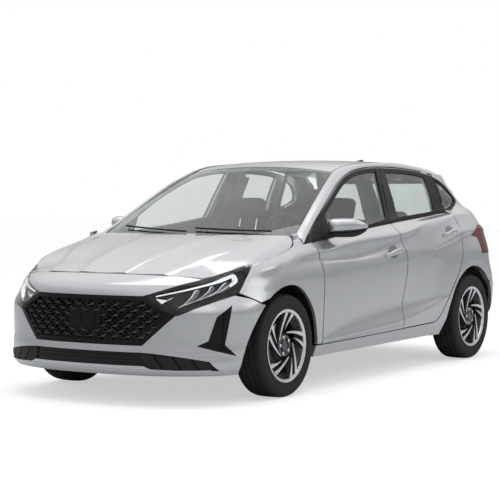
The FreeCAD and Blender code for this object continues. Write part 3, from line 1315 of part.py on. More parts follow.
def finish():
    """Check every object and write one file for each sub-part."""
    doc.recompute()
    for thing in doc.Objects:
        if "Invalid" in thing.State or "Error" in thing.State:
            raise RuntimeError("failed object: " + thing.Label)
    bad = [thing.Label for thing in NODES
           if thing.Shape.isNull() or not thing.Shape.isValid() or not thing.Shape.Solids]
    if bad:
        raise RuntimeError("bad shapes: " + ", ".join(bad))
    os.makedirs("parts", exist_ok=True)
    for thing in NODES:
        shape = thing.Shape
        shape.exportStep("parts/%s.step" % thing.Label)
        box = shape.BoundBox
        print("%-22s solids %2d faces %4d volume %10.0f  x %6.0f %6.0f y %6.0f %6.0f z %6.0f %6.0f" % (
            thing.Label, len(shape.Solids), len(shape.Faces), shape.Volume / 1000.0,
            box.XMin, box.XMax, box.YMin, box.YMax, box.ZMin, box.ZMax))


finish()
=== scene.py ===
"""Looks of the hatchback car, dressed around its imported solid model. Lengths are in metres."""
import logging
import math
from collections.abc import Callable, Sequence
from dataclasses import dataclass, field
from enum import Enum

import bpy
import numpy as np
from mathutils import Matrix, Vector
from mathutils.geometry import delaunay_2d_cdt


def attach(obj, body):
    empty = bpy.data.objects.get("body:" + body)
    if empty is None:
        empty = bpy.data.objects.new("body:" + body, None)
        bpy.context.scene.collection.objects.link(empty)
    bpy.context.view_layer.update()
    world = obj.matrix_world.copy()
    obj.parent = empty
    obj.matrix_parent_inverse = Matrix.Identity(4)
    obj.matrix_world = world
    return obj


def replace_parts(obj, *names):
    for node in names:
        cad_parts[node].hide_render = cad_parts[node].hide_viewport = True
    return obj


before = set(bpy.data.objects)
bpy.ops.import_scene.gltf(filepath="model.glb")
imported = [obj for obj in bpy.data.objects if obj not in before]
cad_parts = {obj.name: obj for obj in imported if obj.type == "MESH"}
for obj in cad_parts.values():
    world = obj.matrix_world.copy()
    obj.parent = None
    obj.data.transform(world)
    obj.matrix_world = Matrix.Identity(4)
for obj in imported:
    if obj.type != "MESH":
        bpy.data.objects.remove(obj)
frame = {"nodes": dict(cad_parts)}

LOG = logging.getLogger("hatchback")
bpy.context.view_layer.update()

Point = tuple[float, float, float]
Flat = tuple[float, float]
Grid = np.ndarray


class Side(Enum):
    """Side of the car that a piece is on."""

    LEFT = 1
    RIGHT = -1

    @property
    def mark(self) -> str:
        """Its name, as in the names of bodies and pieces."""
        return self.name.lower()


class Slot(Enum):
    """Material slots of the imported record."""

    PAINT = "paint"
    GLASS = "glass"
    TRIM = "trim"
    GLOSS = "gloss_black"
    LAMP_CLEAR = "lamp_clear"
    LAMP_RED = "lamp_red"
    ALLOY = "alloy"
    TYRE = "tyre"
    STEEL = "steel"
    CABIN = "cabin"
    FLOOR = "floor"
    SEAT = "seat_cloth"
    ENGINE = "engine"


# Finishes

def feed(tree: bpy.types.NodeTree, node: bpy.types.Node,
         **inputs: bpy.types.NodeSocket | float | Point) -> None:
    """Feed a node's inputs with sockets or plain values.

    Args:
        tree: Tree that the node is in.
        node: The node.
        inputs: What each input gets; a name's underscores stand for spaces.
    """
    for name, value in inputs.items():
        end = node.inputs[name.replace("_", " ")]
        if isinstance(value, bpy.types.NodeSocket):
            tree.links.new(value, end)
        else:
            end.default_value = (*value, 1.0) if end.type == "RGBA" else value


def wired(tree: bpy.types.NodeTree, kind: str, *links: bpy.types.NodeSocket,
          **inputs: bpy.types.NodeSocket | float | Point) -> bpy.types.Node:
    """Add a node to a tree.

    Args:
        tree: The tree.
        kind: Type of the node.
        links: Sockets that feed its first inputs, in their order.
        inputs: What other inputs get, by name.

    Returns:
        The node.
    """
    node = tree.nodes.new(kind)
    for start, end in zip(links, node.inputs):
        tree.links.new(start, end)
    feed(tree, node, **inputs)
    return node


def empty_tree(owner: bpy.types.Material | bpy.types.World) -> bpy.types.NodeTree:
    """Node tree of a material or of the world, with nothing in it."""
    owner.use_nodes = True
    owner.node_tree.nodes.clear()
    return owner.node_tree


class Nodes:
    """Node tree of one material, with the few moves that the finishes need."""

    def __init__(self, name: str) -> None:
        """Start a material with one Principled shader.

        Args:
            name: Name of the material.
        """
        self.material = bpy.data.materials.new(name)
        self.tree = empty_tree(self.material)
        self.shader = self.add("ShaderNodeBsdfPrincipled")
        self.add("ShaderNodeOutputMaterial", self.shader.outputs["BSDF"])
        self.place = self.add("ShaderNodeTexCoord").outputs["Object"]

    def add(self, kind: str, *links: bpy.types.NodeSocket,
            **inputs: bpy.types.NodeSocket | float | Point) -> bpy.types.Node:
        """Add a node."""
        return wired(self.tree, kind, *links, **inputs)

    def noise(self, scale: float, detail: float = 3.0,
              stretch: Point = (1.0, 1.0, 1.0)) -> bpy.types.NodeSocket:
        """Noise over the object's own coordinates.

        Args:
            scale: Cells to the metre.
            detail: Octaves.
            stretch: Scale of each axis.

        Returns:
            Socket of the noise's value.
        """
        mapping = self.add("ShaderNodeMapping", self.place, Scale=stretch)
        return self.add("ShaderNodeTexNoise", mapping.outputs["Vector"], Scale=scale,
                        Detail=detail).outputs["Fac"]

    def ramp(self, value: bpy.types.NodeSocket, low: Point, high: Point,
             start: float = 0.3, stop: float = 0.7) -> bpy.types.NodeSocket:
        """Colour between two colours as a value rises.

        Args:
            value: Socket of the value.
            low: Colour at and below start.
            high: Colour at and above stop.
            start: Value where the change starts.
            stop: Value where it ends.

        Returns:
            Socket of the colour.
        """
        return ramped(self.tree, value, (start, low), (stop, high))

    def spread(self, value: bpy.types.NodeSocket, low: float, high: float) -> bpy.types.NodeSocket:
        """Value from 0 to 1 spread between two numbers."""
        return self.add("ShaderNodeMapRange", value, To_Min=low, To_Max=high).outputs["Result"]

    def bump(self, value: bpy.types.NodeSocket, strength: float, distance: float) -> None:
        """Bump of the shader from a value, of that height in metres."""
        node = self.add("ShaderNodeBump", Height=value, Strength=strength, Distance=distance)
        self.put(Normal=node.outputs["Normal"])

    def put(self, **inputs: bpy.types.NodeSocket | float | Point) -> None:
        """Feed the shader's inputs."""
        feed(self.tree, self.shader, **inputs)


def ramped(tree: bpy.types.NodeTree, value: bpy.types.NodeSocket,
           *stops: tuple[float, Point]) -> bpy.types.NodeSocket:
    """Colour that changes as a value rises.

    Args:
        tree: Tree of nodes.
        value: Socket of the value.
        stops: Two values with their colours.

    Returns:
        Socket of the colour.
    """
    node = wired(tree, "ShaderNodeValToRGB", value)
    for element, (place, colour) in zip(node.color_ramp.elements, stops):
        element.position = place
        element.color = (*colour, 1.0)
    return node.outputs["Color"]


@dataclass(frozen=True)
class Finish:
    """Surface with grain: two near colours, a range of roughness and a fine bump.

    Attributes:
        name: Name of the finish.
        slot: Slot of the record that it belongs to; not used.
        low: Darker colour of the grain.
        high: Lighter colour of the grain.
        roughness: Lowest and highest roughness.
        grain: Grain cells to the metre.
        relief: Height of the bump in metres.
        metal: Share of metal.
        coat: Weight of the clear coat.
        stretch: Scale of the grain along each axis.
        shine: Level of its mirror reflection, where 0.5 is that of plain plastic.
    """

    name: str
    slot: Slot
    low: Point
    high: Point
    roughness: Flat
    grain: float = 300.0
    relief: float = 0.0001
    metal: float = 0.0
    coat: float = 0.0
    stretch: Point = (1.0, 1.0, 1.0)
    shine: float = 0.5

    def made(self) -> bpy.types.Material:
        """The material of this finish, made once."""
        known = bpy.data.materials.get(self.name)
        return known or self.build()

    def build(self) -> bpy.types.Material:
        """Make the material's nodes.

        Returns:
            The material.
        """
        nodes = Nodes(self.name)
        grain = nodes.noise(self.grain, 4.0, self.stretch)
        patches = nodes.noise(self.grain / 12.0, 2.0)
        nodes.bump(grain, 0.6, self.relief)
        nodes.put(Base_Color=nodes.ramp(grain, self.low, self.high), Metallic=self.metal,
                  Roughness=nodes.spread(patches, *self.roughness), Coat_Weight=self.coat,
                  Coat_Roughness=0.04, Specular_IOR_Level=self.shine)
        self.dress(nodes)
        return nodes.material

    def dress(self, nodes: Nodes) -> None:
        """Add what a finish of its own kind has; a plain one has nothing more."""


@dataclass(frozen=True)
class MetallicPaint(Finish):
    """Silver paint: fine bright flakes under a clear coat, and a little orange peel."""

    def build(self) -> bpy.types.Material:
        """Make flakes, slow tone changes and the coat's soft waves.

        Returns:
            The material.
        """
        nodes = Nodes(self.name)
        flakes = nodes.add("ShaderNodeTexVoronoi", nodes.place, Scale=self.grain)
        nodes.bump(nodes.noise(160.0, 1.0), 0.12, self.relief)
        nodes.put(Base_Color=nodes.ramp(flakes.outputs["Distance"], self.high, self.low, 0.1, 0.9),
                  Roughness=nodes.spread(nodes.noise(9.0, 2.0), *self.roughness), Metallic=self.metal,
                  Coat_Weight=self.coat, Coat_Roughness=0.03, Coat_IOR=1.5)
        return nodes.material


@dataclass(frozen=True)
class TintedGlass(Finish):
    """Clear tint with a hard shine and a trace of waviness.

    Attributes:
        index: Refractive index; a low one keeps a thin cover from mirroring the surroundings.
    """

    index: float = 1.45

    def dress(self, nodes: Nodes) -> None:
        """Let light through."""
        nodes.put(Transmission_Weight=1.0, IOR=self.index)


@dataclass(frozen=True)
class Glow(Finish):
    """Light guide of a lamp: white plastic with a low glow of its own.

    Attributes:
        strength: Strength of the glow.
    """

    strength: float = 0.6

    def dress(self, nodes: Nodes) -> None:
        """Give it its glow."""
        nodes.put(Emission_Color=self.high, Emission_Strength=self.strength)


@dataclass(frozen=True)
class Weave(Finish):
    """Seat cloth: crossed threads with a soft sheen."""

    def build(self) -> bpy.types.Material:
        """Make the crossed threads.

        Returns:
            The material.
        """
        nodes = Nodes(self.name)
        rows = []
        for turn in (0.0, math.pi / 2):
            mapping = nodes.add("ShaderNodeMapping", nodes.place, Rotation=(0.0, 0.0, turn))
            wave = nodes.add("ShaderNodeTexWave", mapping.outputs["Vector"], Scale=self.grain, Distortion=1.2)
            rows.append(wave.outputs["Fac"])
        cross = nodes.add("ShaderNodeMath", *rows)
        cross.operation = "MULTIPLY"
        nodes.bump(cross.outputs[0], 0.5, self.relief)
        nodes.put(Base_Color=nodes.ramp(cross.outputs[0], self.low, self.high, 0.1, 0.8),
                  Roughness=nodes.spread(nodes.noise(14.0), *self.roughness), Sheen_Weight=0.4,
                  Sheen_Roughness=0.5)
        return nodes.material


SILVER = MetallicPaint("silver_paint", Slot.PAINT, (0.545, 0.555, 0.575), (0.600, 0.610, 0.630), (0.24, 0.27),
                       grain=2600.0, relief=0.000005, metal=0.72, coat=1.0)
GLASS = TintedGlass("window_glass", Slot.GLASS, (0.70, 0.75, 0.74), (0.74, 0.78, 0.77), (0.0, 0.01), 6.0,
                    0.00001)
SCREEN_GLASS = TintedGlass("screen_glass", Slot.GLASS, (0.84, 0.88, 0.87), (0.87, 0.90, 0.89), (0.0, 0.01),
                           6.0, 0.00001)
GLOSS_BLACK = Finish("gloss_black_plastic", Slot.GLOSS, (0.006, 0.006, 0.007), (0.012, 0.012, 0.013),
                     (0.06, 0.14), 40.0, 0.00002, shine=0.22)
SATIN_BLACK = Finish("moulded_black_plastic", Slot.TRIM, (0.014, 0.014, 0.015), (0.030, 0.030, 0.032),
                     (0.38, 0.52), 900.0, 0.00012, shine=0.16)
RUBBER = Finish("sealing_rubber", Slot.TRIM, (0.010, 0.010, 0.010), (0.022, 0.022, 0.022), (0.6, 0.75), 500.0,
                shine=0.15)
LENS = TintedGlass("lamp_lens", Slot.LAMP_CLEAR, (0.95, 0.96, 0.97), (0.97, 0.98, 0.99), (0.0, 0.015), 5.0,
                   0.00001, index=1.2)
REFLECTOR = Finish("lamp_reflector", Slot.LAMP_CLEAR, (0.10, 0.10, 0.11), (0.20, 0.20, 0.21), (0.10, 0.22),
                   60.0, 0.00004, metal=1.0)
LAMP_BLACK = Finish("lamp_housing", Slot.LAMP_CLEAR, (0.006, 0.006, 0.007), (0.016, 0.016, 0.018),
                    (0.18, 0.3), 90.0, shine=0.2)
CHROME = Finish("bright_chrome", Slot.LAMP_CLEAR, (0.78, 0.79, 0.80), (0.86, 0.87, 0.88), (0.05, 0.11), 70.0,
                0.00001, metal=1.0)
LIGHT_GUIDE = Glow("light_guide", Slot.LAMP_CLEAR, (0.80, 0.81, 0.83), (0.90, 0.91, 0.93), (0.2, 0.3), 120.0,
                   strength=0.25)
RED_LENS = Finish("red_lens", Slot.LAMP_RED, (0.10, 0.003, 0.005), (0.19, 0.006, 0.008), (0.06, 0.12), 220.0,
                  0.0002, coat=0.3, shine=0.25)
# Brighter dark metal on the grille's wing apexes: painted highlight where the gloss black wings catch the
# light.
WING_HIGHLIGHT = Finish("dark_chrome", Slot.GLOSS, (0.10, 0.10, 0.105), (0.17, 0.17, 0.175), (0.16, 0.26), 60.0,
                     0.00002, metal=1.0)
MIRROR = Finish("mirror_glass", Slot.GLOSS, (0.80, 0.82, 0.84), (0.84, 0.86, 0.88), (0.01, 0.03), 8.0,
                0.00001, metal=1.0)
# Dark grey paint of the handle cups: painted shade of the recess behind each grip, laid flat on the skin.
HANDLE_CUP_SHADE = MetallicPaint("handle_cup_paint", Slot.PAINT, (0.17, 0.175, 0.185), (0.25, 0.255, 0.265),
                           (0.24, 0.30), grain=2600.0, relief=0.00002, metal=0.72, coat=1.0)
MACHINED = Finish("machined_alloy", Slot.ALLOY, (0.72, 0.73, 0.75), (0.86, 0.87, 0.89), (0.16, 0.26), 700.0,
                  0.00002, metal=0.9, coat=0.5, stretch=(1.0, 0.1, 1.0))
GREY_ALLOY = Finish("grey_alloy_paint", Slot.ALLOY, (0.055, 0.056, 0.060), (0.10, 0.10, 0.11), (0.25, 0.35),
                    900.0, 0.00002, metal=0.6, coat=0.6)
BARREL = Finish("wheel_barrel", Slot.ALLOY, (0.020, 0.020, 0.022), (0.045, 0.045, 0.048), (0.35, 0.5), 500.0,
                metal=0.4)
DISC = Finish("brake_disc_steel", Slot.STEEL, (0.28, 0.28, 0.29), (0.42, 0.42, 0.43), (0.28, 0.42), 600.0,
              0.00003, metal=1.0, stretch=(1.0, 0.2, 1.0))
BARE_STEEL = Finish("underbody_steel", Slot.STEEL, (0.035, 0.036, 0.038), (0.08, 0.08, 0.085), (0.45, 0.65),
                    200.0, 0.0002, metal=0.5)
TYRE_RUBBER = Finish("tyre_rubber", Slot.TYRE, (0.012, 0.012, 0.013), (0.030, 0.030, 0.031), (0.62, 0.80),
                     700.0, 0.0002, shine=0.3)
CABIN_PLASTIC = Finish("cabin_plastic", Slot.CABIN, (0.016, 0.016, 0.018), (0.034, 0.034, 0.037), (0.45, 0.6),
                       1200.0, 0.0003)
CABIN_GREY = Finish("cabin_lining", Slot.CABIN, (0.10, 0.10, 0.105), (0.15, 0.15, 0.155), (0.7, 0.85), 600.0,
                    0.0003)
CARPET = Finish("floor_covering", Slot.FLOOR, (0.012, 0.012, 0.014), (0.040, 0.040, 0.043), (0.85, 0.95),
                900.0, 0.001)
CLOTH = Weave("seat_cloth_weave", Slot.SEAT, (0.030, 0.030, 0.034), (0.085, 0.085, 0.092), (0.8, 0.92), 260.0,
              0.0004)
SIDE_CLOTH = Finish("seat_bolster_hide", Slot.SEAT, (0.018, 0.018, 0.020), (0.040, 0.040, 0.044), (0.45, 0.6),
                    420.0, 0.0004)
ENGINE_CAST = Finish("engine_casting", Slot.ENGINE, (0.16, 0.16, 0.165), (0.30, 0.30, 0.31), (0.4, 0.6),
                     220.0, 0.0006, metal=0.7)


# Meshes

def placed(name: str, data: bpy.types.ID) -> bpy.types.Object:
    """New object of the scene for a mesh, a lamp or a camera."""
    made = bpy.data.objects.new(name, data)
    bpy.context.scene.collection.objects.link(made)
    return made


def dressed(name: str, points: Sequence, faces: Sequence, finish: Finish, body: str, smooth: bool = True,
            normals: Sequence | None = None) -> bpy.types.Object:
    """Make a mesh piece that rides on a body.

    Args:
        name: Name of the piece.
        points: Its vertices.
        faces: Vertex numbers of each face.
        finish: Its finish.
        body: Body of the frame that it moves with.
        smooth: Whether its faces are shaded smooth.
        normals: Normals of the vertices, where the surface's own are known.

    Returns:
        The new object.
    """
    mesh = bpy.data.meshes.new(name)
    mesh.from_pydata([tuple(p) for p in points], [], [tuple(int(i) for i in f) for f in faces])
    mesh.polygons.foreach_set("use_smooth", [smooth] * len(mesh.polygons))
    mesh.materials.append(finish.made())
    mesh.update()
    if normals is not None:
        mesh.normals_split_custom_set_from_vertices([tuple(n) for n in normals])
    piece = placed(name, mesh)
    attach(piece, body)
    return piece


def creased(piece: bpy.types.Object, angle: float) -> bpy.types.Object:
    """Keep edges sharper than an angle hard, and the rest smooth."""
    piece.data.set_sharp_from_angle(angle=math.radians(angle))
    return piece


def rounded(piece: bpy.types.Object, width: float) -> bpy.types.Object:
    """Round the hard edges of a piece.

    Args:
        piece: Piece whose edges are rounded.
        width: Width of the rounding.

    Returns:
        The same piece.
    """
    bevel = piece.modifiers.new("rounding", "BEVEL")
    bevel.width = width
    bevel.segments = 2
    bevel.limit_method = "ANGLE"
    bevel.angle_limit = math.radians(30.0)
    bevel.harden_normals = True
    return piece


def reflected(points: Grid, side: Side) -> Grid:
    """Points carried to their side of the car; they are drawn for the left."""
    out = np.array(points, float)
    out[..., 1] *= side.value
    return out


def bearings(count: int) -> Grid:
    """Even bearings round a circle."""
    return np.linspace(0.0, 2 * math.pi, count, endpoint=False)


@dataclass
class Solid:
    """Points and faces gathered for one piece."""

    points: list = field(default_factory=list)
    faces: list = field(default_factory=list)

    def add(self, points: Sequence, faces: Sequence) -> None:
        """Add points and the faces between them."""
        start = len(self.points)
        self.points += [tuple(float(c) for c in p) for p in points]
        self.faces += [[i + start for i in f] for f in faces]

    def grid(self, rows: Sequence[Sequence[Point]], around: bool = False, along: bool = False) -> None:
        """Add a grid of points.

        Args:
            rows: Rows of equally many points.
            around: Whether each row closes on itself.
            along: Whether the last row joins the first.
        """
        n, m = len(rows), len(rows[0])
        faces = []
        for i in range(n if along else n - 1):
            for j in range(m if around else m - 1):
                k, q = (i + 1) % n, (j + 1) % m
                faces.append((i * m + j, i * m + q, k * m + q, k * m + j))
        self.add([p for row in rows for p in row], faces)

    def capped(self, rows: Sequence[Sequence[Point]]) -> None:
        """Add a closed loft through rings of points, with both ends filled."""
        start = len(self.points)
        self.grid(rows, around=True)
        m, n = len(rows[0]), len(rows)
        self.faces.append([start + j for j in reversed(range(m))])
        self.faces.append([start + (n - 1) * m + j for j in range(m)])

    def box(self, low: Point, high: Point) -> None:
        """Add a block between two corners."""
        corners = [(x, y, z) for x in (low[0], high[0]) for y in (low[1], high[1]) for z in (low[2], high[2])]
        self.add(corners, [(0, 1, 3, 2), (4, 6, 7, 5), (0, 4, 5, 1), (2, 3, 7, 6), (0, 2, 6, 4),
                           (1, 5, 7, 3)])

    def tube(self, path: Sequence[Point], radius: float, sides: int = 10) -> None:
        """Add a round bar along a path.

        Args:
            path: Points of its centre line.
            radius: Its radius.
            sides: Number of its sides.
        """
        line = np.array(path, float)
        rings = []
        up = np.array([0.0, 0.0, 1.0])
        for i, p in enumerate(line):
            way = line[min(i + 1, len(line) - 1)] - line[max(i - 1, 0)]
            way /= np.linalg.norm(way)
            if abs(way @ up) > 0.95:
                up = np.array([1.0, 0.0, 0.0])
            across = np.cross(way, up)
            across /= np.linalg.norm(across)
            other = np.cross(across, way)
            rings.append([p + radius * (math.cos(t) * across + math.sin(t) * other) for t in bearings(sides)])
        self.capped(rings)

    def lathe(self, profile: Sequence[Flat], steps: int) -> None:
        """Add a shape turned about the Y axis.

        Args:
            profile: Places along the axis and radii; the last one joins the first.
            steps: Steps round the axis.
        """
        rows = []
        for k in range(steps):
            turn = 2 * math.pi * k / steps
            rows.append([(r * math.sin(turn), y, r * math.cos(turn)) for y, r in profile])
        self.grid(rows, around=True, along=True)

    def piece(self, name: str, finish: Finish, body: str, smooth: bool = True, angle: float = 35.0,
              move: Point = (0.0, 0.0, 0.0), side: Side = Side.LEFT) -> bpy.types.Object:
        """Make the piece.

        Args:
            name: Name of the piece.
            finish: Its finish.
            body: Body that it moves with.
            smooth: Whether it is shaded smooth between its hard edges.
            angle: Edges sharper than this stay hard.
            move: Where its own origin goes.
            side: Side of the car; the right one is the left one's mirror image.

        Returns:
            The new object.
        """
        points = reflected(np.array(self.points, float) + np.array(move), side)
        faces = self.faces if side is Side.LEFT else [list(reversed(f)) for f in self.faces]
        made = dressed(name, points, faces, finish, body, smooth)
        return creased(made, angle) if smooth else made


def loft(rows: Sequence[Sequence[Point]], name: str, finish: Finish, body: str, angle: float,
         side: Side = Side.LEFT) -> bpy.types.Object:
    """Make a piece that is one closed loft.

    Args:
        rows: Rings of points.
        name: Name of the piece.
        finish: Its finish.
        body: Body that it moves with.
        angle: Edges sharper than this stay hard.
        side: Side of the car; the right one is the left one's mirror image.

    Returns:
        The new object.
    """
    shape = Solid()
    shape.capped(rows)
    return shape.piece(name, finish, body, angle=angle, side=side)


class Curve:
    """Monotone cubic through points, straight beyond its ends."""

    def __init__(self, points: Sequence[Flat]) -> None:
        """Fit the curve.

        Args:
            points: Places and values.
        """
        known = sorted(points)
        self.at = np.array([p[0] for p in known])
        self.to = np.array([p[1] for p in known])
        self.step = np.diff(self.at)
        slope = np.diff(self.to) / self.step
        self.lean = np.empty(len(known))
        self.lean[0], self.lean[-1] = slope[0], slope[-1]
        for i in range(1, len(slope)):
            self.lean[i] = blended(slope[i - 1], slope[i], self.step[i - 1], self.step[i])

    def __call__(self, t: Grid | float) -> Grid:
        """Value at t."""
        t = np.asarray(t, float)
        i = np.clip(np.searchsorted(self.at, t, side="right") - 1, 0, len(self.step) - 1)
        inside = hermite((t - self.at[i]) / self.step[i], self.step[i], self.to[i], self.to[i + 1],
                         self.lean[i], self.lean[i + 1])
        before = self.to[0] + self.lean[0] * (t - self.at[0])
        after = self.to[-1] + self.lean[-1] * (t - self.at[-1])
        return np.where(t < self.at[0], before, np.where(t > self.at[-1], after, inside))


def blended(before: Grid, after: Grid, step_before: Grid, step_after: Grid) -> Grid:
    """Tangent between two slopes, zero at a turning point."""
    w1 = 2 * step_after + step_before
    w2 = step_after + 2 * step_before
    with np.errstate(divide="ignore", invalid="ignore"):
        mean = (w1 + w2) / (w1 / before + w2 / after)
    return np.where(np.asarray(before) * after > 0, mean, 0.0)


def hermite(u: Grid, step: Grid, a: Grid, b: Grid, lean_a: Grid, lean_b: Grid) -> Grid:
    """Cubic from a to b over a step with those slopes at its ends."""
    return (a * (1 + 2 * u) * (1 - u) ** 2 + lean_a * step * u * (1 - u) ** 2
            + b * u * u * (3 - 2 * u) - lean_b * step * u * u * (1 - u))


def even(start: float, stop: float, pitch: float) -> Grid:
    """Places from start to stop, no further apart than a pitch."""
    return np.linspace(start, stop, max(2, int(math.ceil(abs(stop - start) / pitch)) + 1))


def curved(points: Sequence[Flat], pitch: float = 0.012) -> list[Flat]:
    """Smooth line through flat points, in steps of about a pitch."""
    known = np.array(points, float)
    if len(known) == 2:
        count = max(1, int(np.linalg.norm(known[1] - known[0]) / pitch))
        return [tuple(known[0] + (known[1] - known[0]) * k / count) for k in range(count)]
    chord = np.concatenate([[0.0], np.cumsum(np.linalg.norm(np.diff(known, axis=0), axis=1))])
    out = []
    for i in range(len(known) - 1):
        span = chord[i + 1] - chord[i]
        lean = []
        for k in (i, i + 1):
            low, high = max(k - 1, 0), min(k + 1, len(known) - 1)
            lean.append((known[high] - known[low]) / (chord[high] - chord[low]))
        count = max(1, int(span / pitch))
        for k in range(count):
            out.append(tuple(hermite(k / count, span, known[i], known[i + 1], lean[0], lean[1])))
    return out


def outline(*runs: Sequence[Flat], pitch: float = 0.012) -> list[Flat]:
    """Closed outline of runs; each starts where the last one ended."""
    return [p for run in runs for p in curved(run, pitch)]


def straight(*corners: Flat, pitch: float = 0.012) -> list[Flat]:
    """Closed outline with straight sides between corners."""
    ring = list(corners) + [corners[0]]
    return [p for a, b in zip(ring, ring[1:]) for p in curved([a, b], pitch)]


def inset(ring: Sequence[Flat], width: float) -> list[Flat]:
    """Closed outline moved inwards by a width, or outwards where that is negative."""
    points = np.array(ring, float)
    ahead = np.roll(points, -1, axis=0) - points
    behind = points - np.roll(points, 1, axis=0)
    area = np.sum(points[:, 0] * np.roll(points[:, 1], -1) - np.roll(points[:, 0], -1) * points[:, 1])
    turn = 1.0 if area > 0 else -1.0
    normal = []
    for way in (ahead, behind):
        unit = way / np.linalg.norm(way, axis=1, keepdims=True)
        normal.append(np.stack([-unit[:, 1], unit[:, 0]], axis=1) * turn)
    middle = normal[0] + normal[1]
    middle /= np.maximum(np.sum(middle * normal[0], axis=1, keepdims=True), 0.35)
    return [tuple(p) for p in points + middle * width]


def within(ring: Sequence[Flat], points: Grid) -> Grid:
    """Which flat points lie inside a closed outline."""
    x, y = points[:, 0], points[:, 1]
    inside = np.zeros(len(points), bool)
    for (x0, y0), (x1, y1) in zip(ring, list(ring[1:]) + [ring[0]]):
        crosses = (y0 > y) != (y1 > y)
        if y1 != y0:
            inside ^= crosses & (x < (x1 - x0) * (y - y0) / (y1 - y0) + x0)
    return inside


def clear_of(rings: Sequence[Sequence[Flat]], points: Grid, distance: float) -> Grid:
    """Which flat points lie further than a distance from every outline's points."""
    keep = np.ones(len(points), bool)
    for ring in rings:
        known = np.array(ring, float)
        for start in range(0, len(known), 64):
            part = known[start:start + 64]
            gap = np.linalg.norm(points[:, None, :] - part[None, :, :], axis=2).min(axis=1)
            keep &= gap > distance
    return keep


